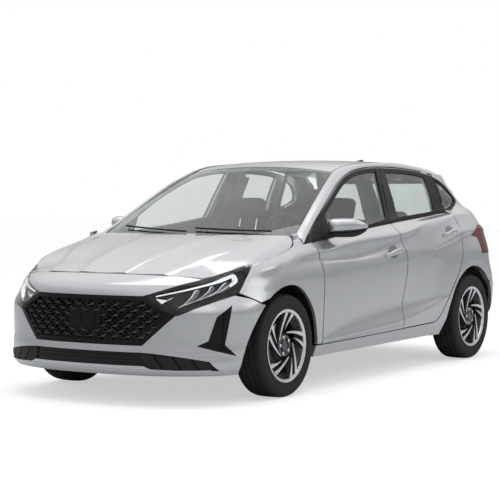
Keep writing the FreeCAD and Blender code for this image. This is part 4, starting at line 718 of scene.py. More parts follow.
@dataclass
class Panel:
    """Piece cut from a surface: a smooth face with hemmed edges and a back.

    Attributes:
        name: Name of the piece.
        ring: Closed outline on the surface's own flat coordinates.
        place: Carries flat points to points of the surface.
        holes: Closed outlines cut out of it.
        guides: Flat points that the mesh passes through, such as those along its creases.
        pitch: Distance between the points inside it.
        depth: How far its edges turn inwards.
        hem: Radius of its edges.
        lift: How far it lies outside the surface.
    """

    name: str
    ring: Sequence[Flat]
    place: Callable[[Grid], Grid]
    holes: Sequence[Sequence[Flat]] = ()
    guides: Grid | None = None
    pitch: float = 0.02
    depth: float = 0.012
    hem: float = 0.0012
    lift: float = 0.0

    def flat(self) -> tuple[Grid, list[tuple[int, int, int]]]:
        """Triangles inside the outline and outside the holes.

        Returns:
            The flat points and the triangles between them.
        """
        rings = [list(self.ring)] + [list(hole) for hole in self.holes]
        low, high = np.min(self.ring, axis=0), np.max(self.ring, axis=0)
        us = even(low[0], high[0], self.pitch)
        vs = even(low[1], high[1], self.pitch)
        inner = np.array([(u, v) for u in us for v in vs]) if self.guides is None else np.array(self.guides)
        inner = inner[within(self.ring, inner)]
        inner = inner[clear_of(rings, inner, 0.004 if self.guides is not None else self.pitch * 0.45)]
        points = [p for ring in rings for p in ring]
        edges, start = [], 0
        for ring in rings:
            n = len(ring)
            edges += [(start + i, start + (i + 1) % n) for i in range(n)]
            start += n
        points += [tuple(p) for p in inner]
        found = delaunay_2d_cdt([Vector(p) for p in points], edges, [], 0, 1e-7)
        verts = np.array([tuple(v) for v in found[0]])
        faces = np.array([f for f in found[2] if len(f) == 3])
        middles = verts[faces].mean(axis=1)
        keep = within(self.ring, middles)
        for hole in self.holes:
            keep &= ~within(hole, middles)
        faces = faces[keep]
        a, b, c = verts[faces[:, 0]], verts[faces[:, 1]], verts[faces[:, 2]]
        area = np.abs((b[:, 0] - a[:, 0]) * (c[:, 1] - a[:, 1]) - (b[:, 1] - a[:, 1]) * (c[:, 0] - a[:, 0]))
        faces = faces[area > 1e-9]
        used = np.unique(faces)
        renumber = -np.ones(len(verts), int)
        renumber[used] = np.arange(len(used))
        return verts[used], [tuple(int(i) for i in f) for f in renumber[faces]]

    def facing(self, uv: Grid) -> Grid:
        """Unit normals of the surface at flat points."""
        step = 0.0006
        du = self.place(uv + [step, 0]) - self.place(uv - [step, 0])
        dv = self.place(uv + [0, step]) - self.place(uv - [0, step])
        normal = np.cross(du, dv)
        return normal / np.maximum(np.linalg.norm(normal, axis=1, keepdims=True), 1e-12)

    def build(self, finish: Finish, body: str, side: Side = Side.LEFT,
              outward: Point = (0, 1, 0)) -> bpy.types.Object:
        """Make the panel.

        Args:
            finish: Its finish.
            body: Body that it moves with.
            side: Side of the car.
            outward: Rough direction that its face looks in.

        Returns:
            The new object.
        """
        uv, faces = self.flat()
        normals = self.facing(uv)
        face = self.place(uv)
        if np.mean(normals @ np.array(outward, float)) < 0:
            normals = -normals
        a, b, c = (face[[f[k] for f in faces]] for k in range(3))
        if np.mean(np.sum(np.cross(b - a, c - a) * normals[[f[0] for f in faces]], axis=1)) < 0:
            faces = [(f[0], f[2], f[1]) for f in faces]
        face = face + normals * self.lift
        n = len(face)
        points, lights = [face], [normals]
        quads: list = []
        edge_pairs = boundary(faces)
        outs = np.zeros((n, 3))
        for i, j in edge_pairs:
            way = face[j] - face[i]
            out = np.cross(way, normals[i])
            out /= max(np.linalg.norm(out), 1e-12)
            outs[i] += out
            outs[j] += out
        rim = sorted({i for pair in edge_pairs for i in pair})
        number = {i: k for k, i in enumerate(rim)}
        out = outs[rim]
        out /= np.maximum(np.linalg.norm(out, axis=1, keepdims=True), 1e-12)
        lean = normals[rim]
        base = face[rim]
        rows = [list(rim)]
        half = math.sqrt(0.5)
        steps = [(self.hem * half, self.hem * (1 - half), half, half), (self.hem, self.hem, 1.0, 0.0),
                 (self.hem, self.depth, 1.0, 0.0)]
        count = n
        for reach, drop, share_out, share_up in steps:
            points.append(base + out * reach - lean * drop)
            lights.append(out * share_out + lean * share_up)
            rows.append(list(range(count, count + len(rim))))
            count += len(rim)
        for upper, lower in zip(rows, rows[1:]):
            quads += [(upper[number[i]], lower[number[i]], lower[number[j]], upper[number[j]])
                      for i, j in edge_pairs]
        faces = [tuple(f) for f in faces] + quads
        points.append(face - normals * self.depth)
        lights.append(-normals)
        faces += [(count + f[0], count + f[2], count + f[1]) for f in faces[:len(faces) - len(quads)]]
        faces += [(rows[-1][number[i]], count + i, count + j, rows[-1][number[j]]) for i, j in edge_pairs]
        cloud = reflected(np.vstack(points), side)
        shine = reflected(np.vstack(lights), side)
        if side is Side.RIGHT:
            faces = [tuple(reversed(f)) for f in faces]
        return dressed(self.name, cloud, faces, finish, body, True, shine)


def boundary(faces: Sequence[tuple[int, int, int]]) -> list[tuple[int, int]]:
    """Edges that only one face has, in that face's own direction."""
    seen = {}
    for f in faces:
        for a, b in zip(f, f[1:] + f[:1]):
            seen[(a, b)] = True
    return [edge for edge in seen if (edge[1], edge[0]) not in seen]


# Surfaces of the body

@dataclass(frozen=True)
class Line:
    """Line along the car's side.

    Attributes:
        name: What it is.
        crease: Whether the side folds along it.
        points: Its stations, heights and half widths.
    """

    name: str
    crease: bool
    points: tuple[Point, ...]


SIDE_LINES = (
    Line("sill", False, ((2.05, .2, .85), (1.55, .205, .85), (.9, .212, .838), (0, .216, .84),
                         (-1, .222, .838),
                         (-1.5, .235, .835), (-2.05, .25, .83))),
    Line("door_bottom", True, ((2.05, .262, .868), (1.55, .268, .868), (.85, .28, .862), (.4, .288, .862),
                               (-.335, .3, .858), (-.778, .313, .86), (-1.05, .325, .868), (-1.5, .335, .872),
                               (-2.05, .34, .872))),
    Line("blade", True, ((2.05, .33, .88), (1.55, .32, .88), (.85, .304, .874), (.437, .319, .876),
                         (-.32, .363, .87), (-.7, .42, .872), (-.958, .471, .88), (-1.3, .52, .886),
                         (-2.05, .52, .884))),
    Line("valley", False, ((2.05, .4, .882), (1.55, .4, .882), (.85, .335, .873), (.437, .4, .866),
                           (-.32, .455, .855), (-.7, .475, .86), (-.958, .5, .879), (-1.3, .56, .886),
                           (-2.05, .56, .884))),
    Line("lower_door", False, ((2.05, .54, .886), (1.55, .56, .886), (.85, .54, .878), (0, .56, .867),
                               (-.335, .56, .864), (-.7, .58, .867), (-1, .62, .882), (-1.4, .64, .887),
                               (-2.05, .64, .88))),
    Line("bulge", False, ((2.05, .64, .884), (1.55, .66, .884), (1.177, .7, .882), (.775, .69, .879),
                          (0, .69, .874), (-.335, .7, .875), (-.722, .74, .874), (-1.144, .76, .88),
                          (-1.4, .77, .884), (-2.05, .77, .866))),
    Line("haunch_low", True, ((2.05, .7, .878), (1.55, .705, .878), (1.177, .745, .877), (.775, .745, .875),
                              (0, .755, .873), (-.335, .77, .875), (-.722, .812, .872), (-1.144, .866, .866),
                              (-1.358, .904, .856), (-2.05, .925, .842))),
    Line("haunch_high", True, ((2.05, .73, .872), (1.55, .735, .87), (1.177, .77, .871), (.775, .775, .87),
                               (0, .785, .869), (-.335, .815, .871), (-.722, .822, .872), (-.925, .858, .873),
                               (-1.346, .938, .862), (-2.05, .96, .848))),
    Line("scallop_low", True, ((2.05, .745, .866), (1.504, .762, .862), (1.312, .789, .868),
                               (.794, .806, .858),
                               (.393, .806, .853), (.139, .826, .852), (-.236, .88, .853),
                               (-.713, .963, .842),
                               (-1.098, 1.031, .818), (-1.4, 1.06, .8), (-2.05, 1.07, .79))),
    Line("scallop_high", False, ((2.05, .765, .85), (1.504, .785, .854), (1.171, .824, .858),
                                 (.796, .86, .859),
                                 (.681, .866, .858), (.34, .905, .853), (-.408, .955, .85),
                                 (-.713, 1.005, .826),
                                 (-1.098, 1.048, .804), (-1.4, 1.078, .786), (-2.05, 1.09, .776))),
    Line("belt", False, ((2.05, .78, .84), (1.504, .803, .85), (1.452, .812, .85), (1.3, .838, .832),
                         (1.107, .874, .822), (1.04, .9, .815), (.903, .906, .821), (.705, .923, .811),
                         (.473, .943, .803), (0, .988, .784), (-.439, 1.021, .77), (-.932, 1.054, .756),
                         (-1.215, 1.071, .749), (-1.473, 1.12, .729), (-2.05, 1.14, .72))),
    Line("glass_middle", False, ((2.05, 1.2, .695), (-2.05, 1.2, .695))),
    Line("glass_top", False, ((2.05, 1.385, .617), (-2.05, 1.385, .617))),
    Line("gutter", False, ((2.05, 1.425, .6), (-2.05, 1.425, .6))),
)


class Shell:
    """Outer surface of the car: its side, its two rounded ends, its bonnet and its roof."""

    WING_TOP = 0.906
    TAIL_ROUND = 0.42
    NOSE_POWER = 2.4
    TAIL_POWER = 3.0
    ROOF_HALF = 0.566
    NOSE_SCALE = 0.75
    FLAT_LIMIT = 1.17

    def __init__(self) -> None:
        """Fit the curves of the surface."""
        self.lines = [(Curve([(p[0], p[1]) for p in line.points]), Curve([(p[0], p[2]) for p in line.points]),
                       line.crease) for line in SIDE_LINES]
        self.nose_x = Curve([(.18, 2.005), (.22, 2.028), (.315, 2.032), (.355, 2.028), (.45, 2.022),
                             (.54, 2.017),
                             (.64, 2.012), (.672, 2.005), (.7, 1.987), (.735, 1.915), (.757, 1.85),
                             (.812, 1.703),
                             (.88, 1.45), (.932, 1.2), (.972, .95)])
        self.nose_round = Curve([(.18, .56), (.22, .56), (.315, .63), (.355, .64), (.54, .63), (.575, .66),
                                 (.64, .79), (.672, .83), (.7, .83), (.735, .73), (.757, .62), (.79, .5),
                                 (.812, .45), (.85, .4), (.88, .43), (.91, .45), (.94, .4)])
        self.tail_x = Curve([(.24, -1.92), (.27, -1.945), (.32, -1.992), (.4, -2.025), (.5, -2.032),
                             (.6, -2.01),
                             (.7, -1.97), (.82, -1.952), (.93, -1.925), (.977, -1.88), (1.05, -1.85),
                             (1.3, -1.65), (1.345, -1.64)])
        self.roof_crown = Curve([(.165, 1.398), (-.02, 1.425), (-.2, 1.441), (-.4, 1.448), (-.6, 1.45),
                                 (-.9, 1.446), (-1.2, 1.432), (-1.4, 1.412), (-1.56, 1.388), (-1.66, 1.362)])
        self.roof_edge = Curve([(.124, 1.356), (0, 1.39), (-.15, 1.412), (-.305, 1.422), (-.486, 1.427),
                                (-.729, 1.425), (-.973, 1.413), (-1.219, 1.389), (-1.4, 1.362),
                                (-1.66, 1.325)])
        self.bonnet_crown = Curve([(.95, .972), (1.2, .932), (1.45, .88), (1.703, .812), (1.85, .757),
                                   (1.915, .735)])
        self.bonnet_fall = Curve([(.95, .005), (1.098, .029), (1.227, .037), (1.36, .04), (1.484, .05),
                                  (1.537, .063), (1.608, .09), (1.668, .1), (1.805, .085), (1.9, .08)])

    def side_width(self, x: Grid, z: Grid) -> Grid:
        """Half width of the straight side, before its ends round off.

        Args:
            x: Stations.
            z: Heights.

        Returns:
            Half widths.
        """
        x, z = np.broadcast_arrays(np.asarray(x, float), np.asarray(z, float))
        heights = [line[0](x) for line in self.lines]
        widths = [line[1](x) for line in self.lines]
        steps = [b - a for a, b in zip(heights, heights[1:])]
        slopes = [(b - a) / h for a, b, h in zip(widths, widths[1:], steps)]
        last = len(steps) - 1
        out = np.where(z <= heights[0], widths[0] + slopes[0] * (z - heights[0]),
                       widths[-1] + slopes[-1] * (z - heights[-1]))
        for i, step in enumerate(steps):
            above, below = slopes[i], slopes[i]
            if i > 0 and not self.lines[i][2]:
                above = blended(slopes[i - 1], slopes[i], steps[i - 1], step)
            if i < last and not self.lines[i + 1][2]:
                below = blended(slopes[i], slopes[i + 1], step, steps[i + 1])
            value = hermite((z - heights[i]) / step, step, widths[i], widths[i + 1], above, below)
            out = np.where((z > heights[i]) & (z <= heights[i + 1]), value, out)
        return out

    def width(self, x: Grid, z: Grid) -> Grid:
        """Half width of the car at stations and heights, its ends rounded off."""
        level = np.minimum(z, self.WING_TOP)
        reach = self.nose_round(level)
        front = np.clip((x - self.nose_x(level) + reach) / reach, 0.0, 0.9999)
        rear = np.clip((self.tail_x(z) + self.TAIL_ROUND - x) / self.TAIL_ROUND, 0.0, 0.9999)
        nose = (1 - front ** self.NOSE_POWER) ** (1 / self.NOSE_POWER)
        return self.side_width(x, z) * nose * (1 - rear ** self.TAIL_POWER) ** (1 / self.TAIL_POWER)

    def side(self, xz: Grid) -> Grid:
        """Points of the left side at flat (station, height) points."""
        return np.stack([xz[:, 0], self.width(xz[:, 0], xz[:, 1]), xz[:, 1]], axis=1)

    def rounded_end(self, angle: Grid, z: Grid, end: Grid, reach: Grid, power: float, sign: int) -> Grid:
        """Points on the rounding of an end, at bearings from the rounding's middle."""
        c, s = np.cos(angle), np.abs(np.sin(angle))
        width = self.side_width(end - sign * reach / 2, z)
        x, radius = end, reach
        for _ in range(3):
            radius = 1 / ((c / reach) ** power + (s / width) ** power) ** (1 / power)
            x = end - sign * (reach - radius * c)
            width = self.side_width(x, z)
        return np.stack([x, np.copysign(radius * s, angle), z], axis=1)

    def nose(self, wz: Grid) -> Grid:
        """Points of the front end at flat (bearing times scale, height) points."""
        angle, z = wz[:, 0] / self.NOSE_SCALE, wz[:, 1]
        return self.rounded_end(angle, z, self.nose_x(z), self.nose_round(z), self.NOSE_POWER, 1)

    def tail(self, wz: Grid) -> Grid:
        """Points of the rear end at flat (bearing times scale, height) points."""
        angle, z = wz[:, 0] / self.NOSE_SCALE, wz[:, 1]
        return self.rounded_end(angle, z, self.tail_x(z), np.full(len(z), self.TAIL_ROUND), self.TAIL_POWER,
                                -1)

    def on_nose(self, x: float, y: float, z: float) -> Flat:
        """Flat nose point of a point that lies on the front end."""
        middle = float(self.nose_x(z) - self.nose_round(z))
        return self.NOSE_SCALE * math.atan2(y, x - middle), z

    def across(self, end: Callable[[Grid], Grid], y: float, z: float) -> Flat:
        """Flat point of an end at a half width and height."""
        ws = np.linspace(0.0, self.FLAT_LIMIT, 200)
        found = end(np.stack([ws, np.full(200, z)], axis=1))[:, 1]
        return math.copysign(float(np.interp(abs(y), found, ws)), y), z

    def nose_at(self, y: float, z: float) -> Flat:
        """Flat nose point at a half width and height."""
        return self.across(self.nose, y, z)

    def tail_at(self, y: float, z: float) -> Flat:
        """Flat tail point at a half width and height."""
        return self.across(self.tail, y, z)

    def tail_by_station(self, x: float, z: float) -> Flat:
        """Flat tail point at a station and height on the left side."""
        ws = np.linspace(0.1, self.FLAT_LIMIT, 240)
        found = self.tail(np.stack([ws, np.full(240, z)], axis=1))[:, 0]
        return float(np.interp(x, found, ws)), z

    def bonnet_height(self, x: Grid, y: Grid) -> Grid:
        """Height of the bonnet."""
        roll = np.maximum(0.0, (np.abs(y) - 0.735) / 0.065)
        return self.bonnet_crown(x) - self.bonnet_fall(x) * (np.abs(y) / 0.77) ** 2.2 - 0.03 * roll * roll

    def bonnet(self, xy: Grid) -> Grid:
        """Points of the bonnet at flat (station, half width) points."""
        return np.stack([xy[:, 0], xy[:, 1], self.bonnet_height(xy[:, 0], xy[:, 1])], axis=1)

    def roof(self, xy: Grid) -> Grid:
        """Points of the roof at flat (station, half width) points."""
        x, y = xy[:, 0], xy[:, 1]
        fall = self.roof_crown(x) - self.roof_edge(x)
        return np.stack([x, y, self.roof_crown(x) - fall * (np.abs(y) / self.ROOF_HALF) ** 2.2], axis=1)


SHELL = Shell()


# Studio

@dataclass(frozen=True)
class Studio:
    """Pale floor, white surroundings, soft lamps and the camera.

    Attributes:
        eye: Where the camera stands.
        bearing: Direction that it looks in on plan, in degrees.
        pitch: How far it looks up, in degrees.
        roll: How far it leans, in degrees.
        focal: Focal length in pixels of the photograph's frame.
        frame: Width of that frame in pixels.
        middle: Pixel that the camera's axis meets.
    """

    eye: Point = (9.089, 5.747, 1.236)
    bearing: float = 212.93
    pitch: float = -2.18
    roll: float = -0.14
    focal: float = 1562.0
    frame: float = 500.0
    middle: Flat = (253.1, 250.2)

    def camera(self) -> None:
        """Create the camera at the photograph's viewing angle."""
        data = bpy.data.cameras.new("photo_camera")
        data.sensor_width = 36.0
        data.lens = self.focal * data.sensor_width / self.frame
        data.shift_x = (self.frame / 2 - self.middle[0]) / self.frame
        data.shift_y = (self.middle[1] - self.frame / 2) / self.frame
        camera = placed("photo_camera", data)
        yaw, pitch, roll = (math.radians(a) for a in (self.bearing, self.pitch, self.roll))
        ahead = Vector((math.cos(yaw) * math.cos(pitch), math.sin(yaw) * math.cos(pitch), math.sin(pitch)))
        right = Vector((math.sin(yaw), -math.cos(yaw), 0.0))
        up = right.cross(ahead)
        side = right * math.cos(roll) + up * math.sin(roll)
        top = up * math.cos(roll) - right * math.sin(roll)
        turn = camera.matrix_world.to_3x3()
        for row in range(3):
            turn[row] = (side[row], top[row], -ahead[row])
        camera.matrix_world = turn.to_4x4()
        camera.location = self.eye
        bpy.context.scene.camera = camera

    def seen(self, tree: bpy.types.NodeTree) -> bpy.types.NodeSocket:
        """Whether a ray comes from the camera, straight or through glass."""
        path = wired(tree, "ShaderNodeLightPath").outputs
        either = wired(tree, "ShaderNodeMath", path["Is Camera Ray"], path["Is Transmission Ray"])
        either.operation = "MAXIMUM"
        return either.outputs[0]

    def world(self) -> None:
        """White to the eye, in glass and in mirrors' upper half; a softer level for the light it gives."""
        world = bpy.data.worlds.new("studio")
        bpy.context.scene.world = world
        tree = empty_tree(world)
        way = wired(tree, "ShaderNodeTexCoord").outputs["Generated"]
        height = wired(tree, "ShaderNodeSeparateXYZ", way).outputs["Z"]
        upper = ramped(tree, height, (0.0, (0.30, 0.31, 0.32)), (0.55, (1.0, 1.0, 1.0)))
        mirrored = wired(tree, "ShaderNodeBackground", upper).outputs[0]
        white = wired(tree, "ShaderNodeBackground", Color=(1.0, 1.0, 1.0)).outputs[0]
        dim = wired(tree, "ShaderNodeBackground", Color=(0.97, 0.985, 1.0), Strength=0.55).outputs[0]
        glossy = wired(tree, "ShaderNodeLightPath").outputs["Is Glossy Ray"]
        unseen = wired(tree, "ShaderNodeMixShader", glossy, dim, mirrored).outputs[0]
        mixed = wired(tree, "ShaderNodeMixShader", self.seen(tree), unseen, white).outputs[0]
        wired(tree, "ShaderNodeOutputWorld", mixed)

    def floor(self) -> None:
        """Pale floor that keeps the car's shadow and is white to the eye elsewhere."""
        mesh = bpy.data.meshes.new("studio_floor")
        reach = 40.0
        mesh.from_pydata([(-reach, -reach, 0), (reach, -reach, 0), (reach, reach, 0), (-reach, reach, 0)], [],
                         [(0, 1, 2, 3)])
        material = bpy.data.materials.new("pale_floor")
        tree = empty_tree(material)
        matt = wired(tree, "ShaderNodeBsdfDiffuse", Color=(0.86, 0.86, 0.865)).outputs[0]
        lift = wired(tree, "ShaderNodeEmission", Strength=0.52).outputs[0]
        both = wired(tree, "ShaderNodeAddShader", matt, lift).outputs[0]
        mixed = wired(tree, "ShaderNodeMixShader", self.seen(tree), matt, both).outputs[0]
        wired(tree, "ShaderNodeOutputMaterial", mixed)
        mesh.materials.append(material)
        placed("studio_floor", mesh)

    def lamp(self, name: str, place: Point, target: Point, size: Flat, power: float) -> None:
        """Hang a soft lamp.

        Args:
            name: Name of the lamp.
            place: Where it hangs.
            target: What it points at.
            size: Its width and height.
            power: Its power in watts.
        """
        data = bpy.data.lights.new(name, "AREA")
        data.shape = "RECTANGLE"
        data.size, data.size_y = size
        data.energy = power
        lamp = placed(name, data)
        lamp.location = place
        lamp.rotation_euler = (Vector(target) - Vector(place)).to_track_quat("-Z", "Y").to_euler()

    def build(self) -> None:
        """Set up the camera, the floor, the surroundings and the lamps."""
        self.camera()
        self.world()
        self.floor()
        self.lamp("overhead", (0.5, 0.0, 6.5), (0.0, 0.0, 0.0), (7.0, 5.0), 120.0)
        self.lamp("front", (7.5, 5.5, 4.5), (0.3, 0.2, 0.6), (7.0, 4.0), 40.0)
        self.lamp("flank", (-3.0, 7.5, 4.0), (-0.5, 0.4, 0.7), (4.0, 2.5), 26.0)
        bpy.context.scene.view_settings.view_transform = "Standard"


# Finishes of the solids that stay in view

class Skins:
    """Finishes of the solid model's own nodes."""

    TABLE = {
        SILVER: ("body_sides", "roof_panel", "bonnet", "front_bumper", "front_fenders", "rear_bumper",
                 "tailgate",
                 "door_front_left", "door_front_right", "door_rear_left", "door_rear_right", "mirror_left",
                 "mirror_right"),
        GLASS: ("window_front_left", "window_front_right", "window_rear_left", "window_rear_right",
                "quarter_windows", "tailgate_window"),
        SCREEN_GLASS: ("windscreen",),
        GLOSS_BLACK: ("front_grilles", "headlamps", "roof_aerial"),
        RED_LENS: ("tail_lamps", "tailgate_lamps"),
        BARE_STEEL: ("front_frame", "knuckle_left", "knuckle_right", "front_subframe", "rear_axle",
                     "exhaust"),
        SATIN_BLACK: ("arch_liners",),
        TYRE_RUBBER: ("tyre_front_left", "tyre_front_right", "tyre_rear_left", "tyre_rear_right"),
        MACHINED: ("rim_front_left", "rim_front_right", "rim_rear_left", "rim_rear_right"),
        CABIN_PLASTIC: ("dashboard", "steering_wheel"),
        CARPET: ("floor_pan",),
        CLOTH: ("front_seats", "rear_seat"),
        ENGINE_CAST: ("engine_block",),
    }

    def build(self) -> None:
        """Give every node its finish."""
        for finish, names in self.TABLE.items():
            for name in names:
                mesh = frame["nodes"][name].data
                mesh.materials.clear()
                mesh.materials.append(finish.made())


# Wheels

@dataclass(frozen=True)
class Corner:
    """Place of a wheel.

    Attributes:
        name: Which wheel it is, as in the names of its solids.
        x: Station of its axle.
        y: Half track.
        side: Side of the car.
        carrier: Body that holds its brake.
    """

    name: str
    x: float
    y: float
    side: Side
    carrier: str

    @property
    def body(self) -> str:
        """Body that turns."""
        return self.name + "_wheel"


CORNERS = (
    Corner("front_left", 1.1775, 0.7695, Side.LEFT, "left_knuckle"),
    Corner("front_right", 1.1775, 0.7695, Side.RIGHT, "right_knuckle"),
    Corner("rear_left", -1.4025, 0.7715, Side.LEFT, "body"),
    Corner("rear_right", -1.4025, 0.7715, Side.RIGHT, "body"),
)


@dataclass(frozen=True)
class Blade:
    """One blade of the pinwheel, on polar places of the wheel's face.

    Attributes:
        bearing: Bearing of its outer end's middle, in degrees.
        swirl: How far it turns towards the hub.
        inner: Radius of its inner end.
        wide: Half width at the rim.
        thin: Half width at the hub.
        outer: Radius of its outer end.
    """

    bearing: float
    swirl: float
    inner: float
    wide: float
    thin: float
    outer: float = 0.2005

    def corners(self, turn: float, shrink: float, steps: int = 9) -> list[Flat]:
        """Outline of the blade on the wheel's face.

        Args:
            turn: Turn of its group, in degrees.
            shrink: How much is taken off all round.
            steps: Points along each side.

        Returns:
            Flat points, right and up as seen from outside.
        """
        outer = math.radians(self.bearing + turn)
        inner = math.radians(self.bearing + turn + self.swirl)
        a = np.array([math.cos(outer), math.sin(outer)]) * self.outer
        b = np.array([math.cos(inner), math.sin(inner)]) * self.inner
        way = (b - a) / np.linalg.norm(b - a)
        over = np.array([-way[1], way[0]])
        bow = np.linalg.norm(b - a) * 0.045
        left, right = [], []
        for t in np.linspace(0.0, 1.0, steps):
            middle = a + (b - a) * t - over * bow * 4 * t * (1 - t)
            half = max(self.wide + (self.thin - self.wide) * t ** 0.8 - shrink, 0.0008)
            if t == 1.0:
                middle = middle - way * shrink
            left.append(tuple(middle + over * half))
            right.append(tuple(middle - over * half))
        return left + right[::-1]


@dataclass
class Wheel:
    """Alloy wheel with ten bright blades in five pairs, its tyre and its brake.

    Attributes:
        corner: Place of the wheel.
        groups: Number of blade pairs, and of bolts.
        blades: Blades of one pair.
        face: Place of the blades' faces along the axle.
        hub: Radius of the hub.
        tread: Radius of the tread.
        half: Half width of the tyre.
        blocks: Number of tread blocks round the tyre.
        lug: Depth of the cuts between the shoulder blocks.
        sipe: Depth of the cuts in the middle ribs.
        bolt_circle: Radius that the bolts stand on.
    """

    corner: Corner
    groups: int = 5
    blades: tuple = (Blade(87.0, 66.0, 0.079, 0.0152, 0.0050), Blade(68.0, 28.0, 0.098, 0.0165, 0.0016))
    face: float = 0.0885
    hub: float = 0.066
    tread: float = 0.3105
    half: float = 0.0975
    blocks: int = 76
    lug: float = 0.0052
    sipe: float = 0.0030
    bolt_circle: float = 0.050

    @property
    def centre(self) -> Point:
        """Middle of the wheel, which stands on its tread."""
        return (self.corner.x, self.corner.y, self.tread)

    def place(self, shape: Solid, name: str, finish: Finish, angle: float = 30.0,
              body: str | None = None) -> bpy.types.Object:
        """Make a piece of the wheel from a shape drawn about its axle.

        Args:
            shape: Shape of the piece.
            name: Start of its name, which the wheel's own name follows.
            finish: Its finish.
            angle: Edges sharper than this stay hard.
            body: Body that it moves with; the wheel itself where none is given.

        Returns:
            The new object.
        """
        return shape.piece(f"{name}_{self.corner.name}", finish, body or self.corner.body, angle=angle,
                           move=self.centre, side=self.corner.side)

    def depth_at(self, u: float, v: float) -> float:
        """Place of the face along the axle: dished a little towards the hub."""
        radius = math.hypot(u, v)
        return self.face - 0.012 * (1 - min(radius / 0.2, 1.0)) ** 1.5

    def spokes(self) -> None:
        """Dark bodies of the blades and their machined faces."""
        dark, bright = Solid(), Solid()
        for k in range(self.groups):
            for blade in self.blades:
                rows = []
                for shrink, drop in ((0.004, 0.046), (0.0, 0.030), (0.0, 0.0022), (0.0011, 0.0)):
                    ring = blade.corners(72.0 * k, shrink)
                    rows.append([(-u, self.depth_at(u, v) - drop, v) for u, v in ring])
                dark.capped(rows)
                rows = []
                for shrink, drop in ((0.0014, -0.0001), (0.0014, -0.0007), (0.0020, -0.0010)):
                    ring = blade.corners(72.0 * k, shrink)
                    rows.append([(-u, self.depth_at(u, v) - drop, v) for u, v in ring])
                bright.capped(rows)
        hub = [(0.058, 0.030), (0.058, self.hub + 0.004), (0.016, self.hub + 0.002),
               (0.011, self.hub - 0.002),
               (0.012, 0.050), (0.022, 0.046), (0.024, 0.034), (0.013, 0.031), (0.011, 0.029),
               (0.010, 0.0005),
               (0.058, 0.0005)]
        dark.lathe([(self.face - drop, radius) for drop, radius in hub], 72)
        self.place(dark, "spokes", GREY_ALLOY, 28.0)
        self.place(bright, "blade_faces", MACHINED, 28.0)
        bolts = Solid()
        for k in range(self.groups):
            turn = math.radians(32.0 + 72.0 * k)
            u, v = self.bolt_circle * math.cos(turn), self.bolt_circle * math.sin(turn)
            rows = []
            for radius, drop in ((0.0105, 0.030), (0.0105, 0.0085), (0.0092, 0.0068), (0.0052, 0.0066),
                                 (0.0048, 0.012)):
                rows.append([(-u + radius * math.sin(math.pi * j / 3), self.face - drop,
                              v + radius * math.cos(math.pi * j / 3)) for j in range(6)])
            bolts.capped(rows)
        self.place(bolts, "wheel_bolts", CHROME)

    def rim(self) -> None:
        """Barrel with its bright outer lip, in place of the solid rim."""
        lip = [(0.0925, 0.2172), (0.0940, 0.2186), (0.0935, 0.2192), (0.0900, 0.2190), (0.0880, 0.2150),
               (0.0820, 0.2047), (0.0570, 0.2042), (0.0560, 0.1990), (0.0800, 0.1985), (0.0890, 0.2020),
               (0.0915, 0.2080)]
        barrel = [(0.0600, 0.2043), (0.0420, 0.1760), (-0.0480, 0.1760), (-0.0600, 0.2043), (-0.0820, 0.2047),
                  (-0.0880, 0.2150), (-0.0920, 0.2150), (-0.0915, 0.2060), (-0.0860, 0.1990),
                  (-0.0640, 0.1980),
                  (-0.0520, 0.1700), (0.0460, 0.1700), (0.0620, 0.1980)]
        shape = Solid()
        shape.lathe(barrel, 96)
        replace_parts(self.place(shape, "barrel", BARREL), "rim_" + self.corner.name)
        shape = Solid()
        shape.lathe(lip, 128)
        self.place(shape, "rim_lip", MACHINED, 40.0)

    def tyre(self) -> None:
        """Tyre with four round grooves, cut blocks and ribs on its side walls."""
        shape = Solid()
        side = [(0.0600, 0.2058), (0.0815, 0.2058), (0.0868, 0.2165), (0.0915, 0.2205), (0.0938, 0.2300),
                (0.0962, 0.2305), (0.0966, 0.2335), (0.0950, 0.2345), (0.0970, 0.2500), (self.half, 0.2630),
                (0.0970, 0.2760), (0.0958, 0.2765), (0.0955, 0.2790), (0.0945, 0.2850), (0.0925, 0.2920),
                (0.0900, 0.2965)]
        crown = [(0.0870, 0.3010), (0.0820, 0.3040), (0.0740, 0.3068), (0.0660, 0.3084), (0.0600, 0.3090)]
        ribs = [(0.0590, 0.3020), (0.0515, 0.3020), (0.0505, 0.3096), (0.0250, 0.3103), (0.0240, 0.3025),
                (0.0155, 0.3025), (0.0145, 0.3104), (0.0050, self.tread)]
        half = side + crown + ribs
        profile = half + [(-y, radius) for y, radius in reversed(half)]
        inside = [(-0.0560, 0.2250), (-0.0860, 0.2600), (-0.0700, 0.2950), (0.0700, 0.2950), (0.0860, 0.2600),
                  (0.0560, 0.2250)]
        steps = self.blocks * 4
        rows = []
        for k in range(steps):
            row = []
            for y, radius in profile + inside:
                cut = 0.0
                if radius > 0.3005 and abs(y) < 0.0945:
                    phase = (k + int(round(abs(y) * 240.0))) % 4
                    cut = 0.0 if phase else self.lug if abs(y) > 0.0600 else self.sipe
                turn = 2 * math.pi * k / steps
                row.append(((radius - cut) * math.sin(turn), y, (radius - cut) * math.cos(turn)))
            rows.append(row)
        shape.grid(rows, around=True, along=True)
        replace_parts(self.place(shape, "tread", TYRE_RUBBER, 34.0), "tyre_" + self.corner.name)

